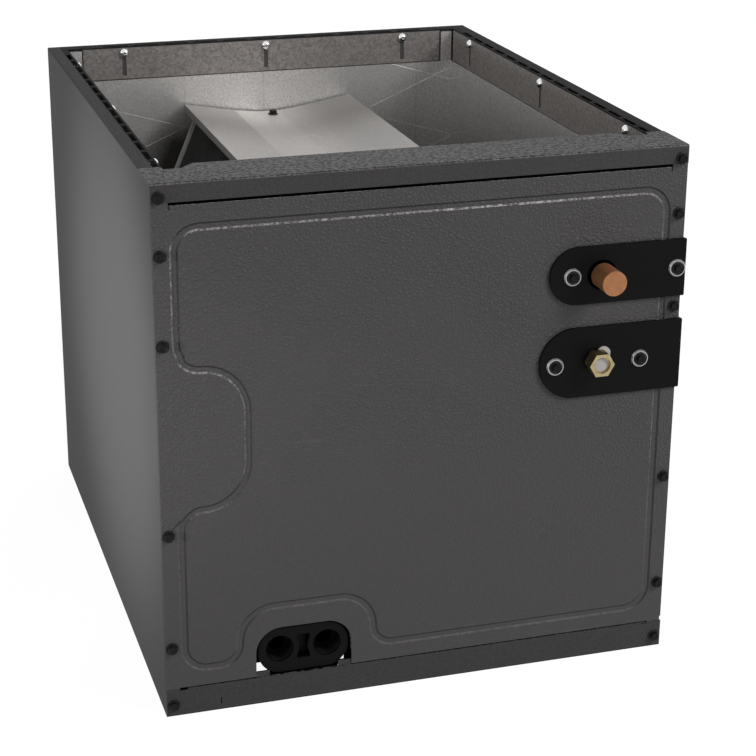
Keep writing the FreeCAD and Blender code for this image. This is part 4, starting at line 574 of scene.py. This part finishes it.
# Painted highlight: the stub's rolled rim is a lighter copper, for the bright ring on its end.
HIGHLIGHT_COPPER_RIM = BareMetal("highlighted_copper_rim", "copper", (0.75, 0.5, 0.33), 0.35,
                        dull=(0.4, 0.22, 0.12), patch=0.003, metallic=0.6)
BRASS = BareMetal("brass_fittings", "brass_fitting", (0.43, 0.35, 0.2), 0.3,
                  dull=(0.2, 0.14, 0.07), patch=0.006, tarnish=0.6)
BRIGHT = BareMetal("bright_steel", "bright_steel", (0.62, 0.62, 0.61), 0.22,
                   dull=(0.3, 0.29, 0.27), patch=0.004, tarnish=0.35)
WASHER = BareMetal("dull_nickel", "bright_steel", (0.4, 0.4, 0.395), 0.3,
                   dull=(0.2, 0.2, 0.19), patch=0.004, tarnish=0.4)
BLACK_PLATE = MouldedPlastic("black_plate_coating", "black_plastic", (0.004, 0.004, 0.0042), 0.5)
PAN_PLASTIC = MouldedPlastic("black_pan_plastic", "black_plastic", (0.0032, 0.0032, 0.0033), 0.45,
                             sparkle=0.0012, depth=0.00005)
# Black foam for the line grommets, and for the strips that stand in for shade in the panel's seams.
FOAM_AND_SHADE = MouldedPlastic("black_foam_and_shade", "black_plastic", (0.0015, 0.0015, 0.0015), 0.9,
                      sparkle=0.0014, depth=0.00008, gloss=0.0)
WHITE_PLASTIC = MouldedPlastic("white_plug_plastic", "white_plastic", (0.6, 0.57, 0.54), 0.4,
                               depth=0.00002, mark=0.9, gloss=0.3)
BLACK_SCREW = MouldedPlastic("black_oxide_screws", "black_screws", (0.0055, 0.0052, 0.0055), 0.4,
                             sparkle=0.0006, depth=0.00003, mark=2.5, gloss=0.16)

SIDES = ("left", "right")
DRESSED = {
    PANEL_PAINT: ("access_panel",),
    RAIL_PAINT: ("top_front_rail", "bottom_front_rail"),
    CASE_PAINT: ("case_wrapper",),
    ZINC: ("duct_flange_left", "duct_flange_right", "duct_flange_back", "delta_plate_front",
           "delta_plate_rear", "pan_rail_left", "pan_rail_right"),
    HIGHLIGHT_ZINC: tuple(f"tube_sheet_{end}_{side}" for end in ("front", "rear") for side in SIDES),
    CAP_ZINC: ("coil_top_cap",),
    FOIL: ("insulation_left", "insulation_right", "insulation_back", "insulation_panel"),
    SHADE_DARKENED_FINS: tuple(f"fin_pack_{side}" for side in SIDES),
    COPPER: ("suction_header", "suction_branches", "liquid_line", "feeder_tubes", "sensing_bulb",
             "bulb_strap"),
    SHADE_DARKENED_COPPER: tuple(f"{tubes}_{side}" for tubes in ("hairpin_tubes", "return_bends") for side in SIDES),
    BRASS: ("liquid_line_fitting", "expansion_valve", "distributor", "power_head"),
    BRIGHT: ("flange_screws",),
    WASHER: ("plate_washers",),
    BLACK_PLATE: ("suction_line_plate", "liquid_line_plate"),
    PAN_PLASTIC: ("drain_pan",),
    WHITE_PLASTIC: ("liquid_line_plug", "liquid_line_bushing"),
    BLACK_SCREW: ("panel_screws", "rail_screws", "plate_screws", "cap_screw"),
}


def add_object(name: str, data: bpy.types.ID) -> bpy.types.Object:
    """A new object in the scene."""
    made = bpy.data.objects.new(name, data)
    bpy.context.scene.collection.objects.link(made)
    return made


def dress_frame() -> None:
    """Gives every CAD node its finish."""
    for finish, names in DRESSED.items():
        for name in names:
            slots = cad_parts[name].data.materials
            count = len(slots)
            slots.clear()
            for _ in range(max(1, count)):
                slots.append(finish.material())
            log.info("%s: %s", name, finish.name)


class Workpiece:
    """A mesh being shaped with the operators that this coil's pieces share."""

    def __init__(self) -> None:
        """Starts empty."""
        self.bm = bmesh.new()

    def box(self, low: Sequence[float], high: Sequence[float]) -> None:
        """A block between two corners."""
        low, high = Vector(low), Vector(high)
        matrix = Matrix.Translation((low + high) / 2) @ Matrix.Diagonal((*(high - low), 1.0))
        bmesh.ops.create_cube(self.bm, size=1.0, matrix=matrix)

    def lathe(self, profile: Sequence[tuple[float, float]], steps: int) -> None:
        """Spins a profile round Z.

        Args:
            profile: Radius and height of each point, from the top centre outwards.
            steps: How many facets the turned shape has.
        """
        before = set(self.bm.verts)
        points = [self.bm.verts.new((radius, 0.0, height)) for radius, height in profile]
        edges = [self.bm.edges.new(pair) for pair in zip(points, points[1:])]
        bmesh.ops.spin(self.bm, geom=points + edges, cent=(0, 0, 0), axis=(0, 0, 1), dvec=(0, 0, 0),
                       angle=math.tau, steps=steps, use_merge=True, use_normal_flip=False,
                       use_duplicate=False)
        made = [vert for vert in self.bm.verts if vert not in before]
        bmesh.ops.remove_doubles(self.bm, verts=made, dist=1e-7)

    def prism(self, sides: int, radius: float, low: float, high: float, bevel: float = 0.0) -> None:
        """An upright prism with its upper rim bevelled.

        Args:
            sides: How many sides it has.
            radius: From the centre to a corner.
            low: Its foot.
            high: Its top.
            bevel: Width of the bevel round the top.
        """
        made = bmesh.ops.create_cone(self.bm, cap_ends=True, cap_tris=False, segments=sides, radius1=radius,
                                     radius2=radius, depth=high - low,
                                     matrix=Matrix.Translation((0, 0, (low + high) / 2)))["verts"]
        if bevel:
            rim = [edge for edge in self.bm.edges
                   if all(vert in made and abs(vert.co.z - high) < 1e-7 for vert in edge.verts)]
            bmesh.ops.bevel(self.bm, geom=rim, offset=bevel, segments=2, profile=0.5, affect="EDGES",
                            material=-1)

    def mesh(self, name: str) -> bpy.types.Mesh:
        """The finished mesh, which uses the workpiece up."""
        made = bpy.data.meshes.new(name)
        self.bm.to_mesh(made)
        self.bm.free()
        return made

    def stamp(self, pattern: "Workpiece", places: Iterable[Matrix]) -> None:
        """Adds copies of another workpiece at the places and uses that one up."""
        mesh = pattern.mesh("stamp")
        for place in places:
            before = len(self.bm.verts)
            self.bm.from_mesh(mesh)
            self.bm.verts.ensure_lookup_table()
            bmesh.ops.transform(self.bm, matrix=place, verts=self.bm.verts[before:])
        bpy.data.meshes.remove(mesh)

    def piece(self, name: str, finish: Finish, replaced: Sequence[str] = (), smooth: bool = False) -> None:
        """Turns the mesh into a piece of the coil.

        Args:
            name: The piece's name.
            finish: Its finish.
            replaced: The CAD nodes that it stands for.
            smooth: Shades it smooth, with its sharp edges kept.
        """
        bmesh.ops.recalc_face_normals(self.bm, faces=self.bm.faces)
        mesh = self.mesh(name)
        if smooth:
            mesh.shade_smooth()
            mesh.set_sharp_from_angle(angle=math.radians(32))
        made = add_object(name, mesh)
        mesh.materials.append(finish.material())
        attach(made, "root")
        if replaced:
            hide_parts(*replaced)
        log.info("%s: %d faces", name, len(mesh.polygons))


def solids_of(node: str) -> list[tuple[Vector, Vector]]:
    """The box round each separate solid of a CAD node.

    Args:
        node: The node's name.

    Returns:
        The lowest and highest corner of each solid.
    """
    bm = bmesh.new()
    bm.from_mesh(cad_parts[node].data)
    bmesh.ops.remove_doubles(bm, verts=bm.verts, dist=1e-6)
    unseen = set(bm.verts)
    boxes = []
    while unseen:
        queue = [unseen.pop()]
        low, high = queue[0].co.copy(), queue[0].co.copy()
        while queue:
            vert = queue.pop()
            low = Vector(map(min, low, vert.co))
            high = Vector(map(max, high, vert.co))
            for edge in vert.link_edges:
                other = edge.other_vert(vert)
                if other in unseen:
                    unseen.discard(other)
                    queue.append(other)
        boxes.append((low, high))
    bm.free()
    return sorted(boxes, key=lambda corners: tuple(round(part, 5) for part in corners[0]))


def front_of(node: str) -> float:
    """The Y of a CAD node's foremost face."""
    return min(low.y for low, _ in solids_of(node))


class Facing(Enum):
    """Which way a fastener's head faces."""

    FRONT = (0.0, -1.0, 0.0)
    RIGHT = (1.0, 0.0, 0.0)
    LEFT = (-1.0, 0.0, 0.0)
    UP = (0.0, 0.0, 1.0)

    def turned(self, seat: Sequence[float]) -> Matrix:
        """Places a shape that stands along Z so that it stands on the seat and faces this way."""
        return Matrix.Translation(seat) @ Vector(self.value).to_track_quat("Z", "Y").to_matrix().to_4x4()


@dataclass
class FinnedSlab:
    """One slanted slab of thin fins on the tubes."""

    side: int
    angle: float = math.radians(67.0)
    top_x: float = 77.0 * MM
    top_z: float = 390.5 * MM
    length: float = 304.8 * MM
    depth: float = 44.0 * MM
    front: float = -190.0 * MM
    back: float = 226.0 * MM
    pitch: float = 1.9 * MM
    fin: float = 0.25 * MM
    ripple: float = 0.6 * MM
    waves: int = 4

    def plate(self) -> Workpiece:
        """One fin, corrugated across its depth, lying along X and Z before it leans."""
        work = Workpiece()
        work.box((0, 0, -self.length), (self.depth, self.fin, 0))
        across = [edge for edge in work.bm.edges if abs(edge.verts[0].co.x - edge.verts[1].co.x) > 1e-6]
        bmesh.ops.subdivide_edges(work.bm, edges=across, cuts=2 * self.waves - 1, use_grid_fill=True)
        for vert in work.bm.verts:
            vert.co.y += self.ripple * (0.5 - 0.5 * math.cos(vert.co.x / self.depth * math.tau * self.waves))
        return work

    def build(self) -> None:
        """Stacks the fins along Y and leans the stack."""
        count = int((self.back - self.front - self.ripple - self.fin) / self.pitch) + 1
        lean = Matrix.Rotation(math.pi / 2 - self.angle, 4, "Y")
        inward = Matrix.Diagonal((-1.0, 1.0, 1.0, 1.0))
        place = Matrix.Translation((self.top_x, self.front, self.top_z)) @ lean.inverted() @ inward
        if self.side < 0:
            place = inward @ place
        stack = Workpiece()
        stack.stamp(self.plate(), [place @ Matrix.Translation((0, index * self.pitch, 0))
                                   for index in range(count)])
        label = "left" if self.side < 0 else "right"
        stack.piece(f"fins_{label}", SHADE_DARKENED_FINS, (f"fin_pack_{label}",))


@dataclass
class HexScrew:
    """Hexagon head with a pressed washer face and a dimple in its top."""

    washer: float = 10.6 * MM
    flats: float = 7.0 * MM
    height: float = 4.2 * MM
    shank: float = 4.2 * MM
    skirt_rise: float = 1.3 * MM
    skirt_edge: float = 0.5 * MM
    dimple: float = 0.5 * MM
    facets: int = 28

    def shape(self, reach: float) -> Workpiece:
        """The screw along Z, seated at the origin, with a shank of that reach."""
        work = Workpiece()
        skirt = self.washer / 2
        work.lathe([(0.0, self.skirt_rise), (self.flats * 0.5, self.skirt_rise), (skirt * 0.86, 0.95 * MM),
                    (skirt, self.skirt_edge), (skirt, 0.0), (0.0, 0.0)], self.facets)
        work.prism(6, self.flats / math.sqrt(3), 0.9 * MM, self.height, 0.45 * MM)
        top = [face for face in work.bm.faces if face.normal.z > 0.9
               and face.calc_center_median().z > self.height - 1e-6]
        bmesh.ops.inset_region(work.bm, faces=top, thickness=0.55 * MM, depth=0.0)
        bmesh.ops.inset_region(work.bm, faces=top, thickness=0.45 * MM, depth=-self.dimple)
        work.prism(14, self.shank / 2, -reach, 0.2 * MM)
        return work


@dataclass
class CaseScrews:
    """The black screws of one node, each seated where the CAD has it."""

    node: str
    head: HexScrew
    facing: Facing = Facing.FRONT
    turn: float = math.radians(17.0)

    def build(self) -> None:
        """Stamps the screw on every seat of the node, each one turned a little further."""
        boxes = solids_of(self.node)
        axis = 1 if self.facing is Facing.FRONT else 2
        pattern = self.head.shape((boxes[0][1] - boxes[0][0])[axis] - self.head.height)
        places = []
        for index, (low, high) in enumerate(boxes):
            seat = (low + high) / 2
            seat[axis] = low.y + self.head.height if axis == 1 else high.z - self.head.height
            places.append(self.facing.turned(seat) @ Matrix.Rotation(self.turn * index, 4, "Z"))
        work = Workpiece()
        work.stamp(pattern, places)
        work.piece(self.node + "_detailed", BLACK_SCREW, (self.node,), smooth=True)


@dataclass
class ClampScrews:
    """Bright pan-head screws that clamp the duct flanges."""

    node: str = "flange_screws"
    height: float = 3.8 * MM
    radius: float = 4.7 * MM
    shank: float = 2.1 * MM
    facets: int = 28

    def shape(self, reach: float) -> Workpiece:
        """A domed head with a socket, seated at the origin."""
        work = Workpiece()
        work.lathe([(0.0, 2.2 * MM), (1.3 * MM, 2.3 * MM), (1.5 * MM, 3.7 * MM), (2.9 * MM, 3.3 * MM),
                    (4.1 * MM, 2.2 * MM), (self.radius, 0.9 * MM), (self.radius, 0.0), (0.0, 0.0)],
                   self.facets)
        work.prism(14, self.shank, -reach, 0.2 * MM)
        return work

    def build(self) -> None:
        """Stamps the screw on each seat, facing into the case."""
        work = Workpiece()
        boxes = solids_of(self.node)
        reach = max(boxes[0][1] - boxes[0][0]) - self.height
        places = []
        for low, high in boxes:
            seat = (low + high) / 2
            if high.x - low.x > high.y - low.y:
                facing = Facing.LEFT if seat.x > 0 else Facing.RIGHT
                seat.x = low.x + self.height if seat.x > 0 else high.x - self.height
            else:
                facing = Facing.FRONT
                seat.y = low.y + self.height
            places.append(facing.turned(seat))
        work.stamp(self.shape(reach), places)
        work.piece("clamp_screws_detailed", BRIGHT, (self.node,), smooth=True)


@dataclass
class PressedPanel:
    """The access panel with its bead pressed inwards, as a groove."""

    node: str = "access_panel"
    floor: float = CASE_FRONT + 0.86 * MM
    lining: float = 0.02 * MM
    crest_height: float = 1.5 * MM
    flat_within: float = 0.05 * MM
    foot_within: float = 0.02 * MM
    steepen: float = 0.12
    notch_middle: float = 247.0 * MM
    notch_reach: float = 70.0 * MM
    notch_limit: float = -140.0 * MM
    notch_drop: float = -2.5 * MM
    notch_share: float = 56.3 / 60.0
    bead_left: float = -205.65 * MM

    def moved(self, spot: Vector) -> Vector:
        """Where a point of the bead lies once its side notch is a little shallower and lower."""
        if abs(spot.z - self.notch_middle) < self.notch_reach and spot.x < self.notch_limit:
            spot = spot.copy()
            spot.x = self.bead_left + (spot.x - self.bead_left) * self.notch_share
            spot.z += self.notch_drop
        return spot

    def build(self) -> None:
        """Turns the crest of the bead into the floor of a groove, with steeper walls."""
        work = Workpiece()
        work.bm.from_mesh(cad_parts[self.node].data)
        bmesh.ops.remove_doubles(work.bm, verts=work.bm.verts, dist=1e-6)
        proud = CASE_FRONT - self.crest_height
        crest = [vert for vert in work.bm.verts if vert.co.y < proud]
        inner = [vert for vert in work.bm.verts if proud <= vert.co.y < CASE_FRONT - self.flat_within]
        foot = set()
        shifts = {vert: Vector() for vert in crest}
        for vert in crest:
            near = [edge.other_vert(vert) for edge in vert.link_edges
                    if abs(edge.other_vert(vert).co.y - CASE_FRONT) < self.foot_within]
            foot.update(near)
            if near:
                closest = min(near, key=lambda other: (other.co - vert.co).length)
                shifts[vert] = (closest.co - vert.co) * self.steepen
        for vert, shift in shifts.items():
            vert.co = self.moved(vert.co + shift)
            vert.co.y = self.floor
        for vert in foot:
            vert.co = self.moved(vert.co)
        for vert in inner:
            vert.co.y = self.floor + self.lining
        work.piece("pressed_access_panel", PANEL_PAINT, (self.node,))


@dataclass
class ShadeFoamSeals:
    """Black foam behind the seams of the panel and round the drain boss, standing in for the shade in those
    gaps.
    """

    seam_back: float = CASE_FRONT / MM + 0.9
    thickness: float = 0.12

    def strips(self) -> dict[str, tuple[tuple[float, float], ...]]:
        """X, Y and Z ranges of each strip, in millimetres."""
        seam = (self.seam_back - self.thickness, self.seam_back)
        behind_boss = (-270.4, -268.4)
        foot = (25.05, 26.05)
        return {"above the panel": ((-208.8, 208.8), seam, (439.35, 441.6)),
                "notch at the left foot": ((-210.6, -204.0), (-273.13, -273.05), (24.4, 26.2)),
                "below the panel, left": ((-203.9, -145.7), seam, foot),
                "below the panel, right": ((-62.9, 208.8), seam, foot),
                "left of the boss": ((-145.5, -141.4), behind_boss, (37.9, 47.0)),
                "below the boss, left": ((-145.5, -133.0), behind_boss, (25.6, 28.8)),
                "below the boss": ((-134.0, -74.5), (-270.5, -262.0), (21.5, 26.2)),
                "right of the boss": ((-68.7, -61.0), behind_boss, (27.0, 48.0)),
                "below the boss, right": ((-80.0, -61.0), behind_boss, (25.6, 29.4))}

    def build(self) -> None:
        """Cuts the strips and lays them in."""
        work = Workpiece()
        for ranges in self.strips().values():
            low, high = zip(*ranges)
            work.box([part * MM for part in low], [part * MM for part in high])
        work.piece("seam_shade_seals", FOAM_AND_SHADE)


@dataclass
class LineTrims:
    """Rings round the two lines: rubber grommets at the plates and a rolled rim on the copper stub."""

    stub: str = "suction_header"
    plates: tuple[tuple[str, float], ...] = (("suction_line_plate", 10.5 * MM),
                                             ("liquid_line_plate", 7.0 * MM))
    stub_place: tuple[float, float] = (149.6 * MM, 353.4 * MM)
    fitting_place: tuple[float, float] = (147.0 * MM, 279.3 * MM)
    sunk: float = 0.02 * MM
    facets: int = 40
    rim_facets: int = 48

    def build(self) -> None:
        """Turns the rings and seats them on the plates and on the stub's end."""
        rings = Workpiece()
        for (plate, bore), (x, z) in zip(self.plates, (self.stub_place, self.fitting_place)):
            ring = Workpiece()
            inside = bore + 0.2 * MM
            ring.lathe([(inside, 0.0), (inside, 1.1 * MM), (bore + 0.8 * MM, 1.6 * MM),
                        (bore + 1.9 * MM, 1.2 * MM), (bore + 2.4 * MM, 0.0), (inside, 0.0)], self.facets)
            rings.stamp(ring, [Facing.FRONT.turned((x, front_of(plate), z))])
        rings.piece("line_grommets", FOAM_AND_SHADE, smooth=True)
        rim = Workpiece()
        rim.lathe([(8.9 * MM, -0.05 * MM), (9.1 * MM, 0.0), (9.6 * MM, 0.0), (10.1 * MM, -0.25 * MM),
                   (10.5 * MM, -0.8 * MM), (10.3 * MM, -0.9 * MM), (8.9 * MM, -0.05 * MM)], self.rim_facets)
        x, z = self.stub_place
        trims = Workpiece()
        trims.stamp(rim, [Facing.FRONT.turned((x, front_of(self.stub) + self.sunk, z))])
        trims.piece("stub_rim", HIGHLIGHT_COPPER_RIM, smooth=True)


@dataclass
class SocketThreads:
    """Pipe threads inside the two drain sockets."""

    places: tuple[float, ...] = (-124.8 * MM, -83.8 * MM)
    height: float = 48.2 * MM
    mouth: float = -270.5 * MM
    inset: float = 2.0 * MM
    radius: float = 12.05 * MM
    depth: float = 0.6 * MM
    pitch: float = 1.8 * MM
    turns: int = 7
    facets: int = 40

    def build(self) -> None:
        """Turns one thread and stamps it along each socket."""
        thread = Workpiece()
        thread.lathe([(self.radius, 0.0), (self.radius - self.depth, -self.pitch / 2),
                      (self.radius, -self.pitch)], self.facets)
        work = Workpiece()
        work.stamp(thread, [Facing.FRONT.turned((x, self.mouth + self.inset + self.pitch * turn, self.height))
                            for x in self.places for turn in range(self.turns)])
        work.piece("socket_threads", PAN_PLASTIC, smooth=True)


class Studio:
    """The camera, the lamps, the world and the floor."""

    camera_place = (-0.4739, -1.6525, 0.8375)
    camera_azimuth = -16.1328
    camera_elevation = 19.2116
    lens = 91.483
    shift = (0.0529, -0.0799)
    floor_reach = 6.0

    def camera(self) -> None:
        """Puts the camera at the photograph's viewing angle."""
        data = bpy.data.cameras.new("camera")
        data.sensor_width = 36.0
        data.lens = self.lens
        data.shift_x, data.shift_y = self.shift
        data.clip_end = 50.0
        made = add_object("camera", data)
        made.location = self.camera_place
        made.rotation_euler = (math.radians(90.0 - self.camera_elevation), 0.0,
                               math.radians(self.camera_azimuth))
        bpy.context.scene.camera = made

    @staticmethod
    def hang(data: bpy.types.Light, power: float, place: Sequence[float], target: Sequence[float]) -> None:
        """Hangs a lamp of that many watts so that it faces the target."""
        data.energy = power
        made = add_object(data.name, data)
        made.location = place
        made.rotation_euler = (Vector(target) - Vector(place)).to_track_quat("-Z", "Y").to_euler()

    def softbox(self, name: str, place: Sequence[float], target: Sequence[float], size: float,
                power: float) -> None:
        """Adds a square softbox of that size, facing the target."""
        data = bpy.data.lights.new(name, "AREA")
        data.size = size
        self.hang(data, power, place, target)

    def spot(self, name: str, place: Sequence[float], target: Sequence[float], spread: float,
             power: float) -> None:
        """Adds a soft-edged spot whose cone spreads by that many degrees."""
        data = bpy.data.lights.new(name, "SPOT")
        data.spot_size = math.radians(spread)
        data.spot_blend = 1.0
        data.shadow_soft_size = 0.05
        self.hang(data, power, place, target)

    @staticmethod
    def seen(wiring: Wiring) -> Socket:
        """1 for rays that show a surface as it looks, from the camera, a gloss or a glass."""
        path = wiring.node("ShaderNodeLightPath").outputs
        return wiring.larger(wiring.larger(path["Is Camera Ray"], path["Is Transmission Ray"]),
                             path["Is Glossy Ray"])

    def world(self) -> None:
        """A white surround to look at, with a plainer light of its own."""
        world = bpy.data.worlds.new("studio")
        wiring = Wiring.of(world)
        light = wiring.node("ShaderNodeBackground", {"Color": (0.98, 0.99, 1.0, 1.0), "Strength": 0.32})
        white = wiring.node("ShaderNodeBackground", {"Color": (1.0, 1.0, 1.0, 1.0), "Strength": 1.0})
        mixed = wiring.mix(self.seen(wiring), light, white)
        wiring.node("ShaderNodeOutputWorld", {"Surface": mixed.outputs[0]})
        bpy.context.scene.world = world

    def floor(self) -> None:
        """A pale floor that keeps the case's shadow and can be looked through from below."""
        work = Workpiece()
        bmesh.ops.create_grid(work.bm, x_segments=1, y_segments=1, size=self.floor_reach)
        mesh = work.mesh("floor")
        made = add_object("floor", mesh)
        material = bpy.data.materials.new("pale_floor")
        wiring = Wiring.of(material)
        matt = wiring.node("ShaderNodeBsdfDiffuse", {"Color": (0.6, 0.6, 0.6, 1.0)})
        glow = wiring.node("ShaderNodeEmission", {"Strength": 0.94})
        faint = wiring.node("ShaderNodeBsdfDiffuse", {"Color": (0.2, 0.2, 0.2, 1.0)})
        pale = wiring.node("ShaderNodeAddShader", {0: glow.outputs[0], 1: faint.outputs[0]})
        shown = wiring.mix(self.seen(wiring), matt, pale)
        clear = wiring.node("ShaderNodeBsdfTransparent")
        under = wiring.node("ShaderNodeNewGeometry").outputs["Backfacing"]
        both = wiring.mix(under, shown, clear)
        wiring.node("ShaderNodeOutputMaterial", {"Surface": both.outputs[0]})
        mesh.materials.append(material)

    def build(self) -> None:
        """Sets the whole studio up."""
        bpy.context.scene.view_settings.view_transform = "Standard"
        self.camera()
        self.world()
        self.floor()
        middle = (0, 0, 0.22)
        self.softbox("left_softbox", (-2.6, -0.9, 0.9), middle, 1.6, 8.0)
        self.spot("side_spot", (-1.7, -0.7, 0.45), (-0.22, -0.08, 0.26), 20.0, 112.0)
        self.softbox("key_softbox", (1.9, -1.9, 2.3), middle, 1.0, 46.0)
        self.softbox("rear_softbox", (0.45, 1.5, 1.35), (0, -0.1, 0.44), 0.5, 1.2)
        self.spot("cap_spot", (-0.05, 0.05, 1.35), (-0.03, 0.235, 0.4), 7.0, 48.0)


def main() -> None:
    """Builds the studio and the coil's pieces in order."""
    logging.basicConfig(level=logging.INFO, format="%(name)s: %(message)s")
    Studio().build()
    dress_frame()
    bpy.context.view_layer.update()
    for side in (-1, 1):
        FinnedSlab(side).build()
    CaseScrews("panel_screws", HexScrew()).build()
    CaseScrews("rail_screws", HexScrew()).build()
    CaseScrews("plate_screws", HexScrew(washer=11.0 * MM, flats=6.0 * MM)).build()
    CaseScrews("cap_screw", HexScrew(), Facing.UP).build()
    ClampScrews().build()
    PressedPanel().build()
    ShadeFoamSeals().build()
    LineTrims().build()
    SocketThreads().build()


if __name__ == "__main__":
    main()
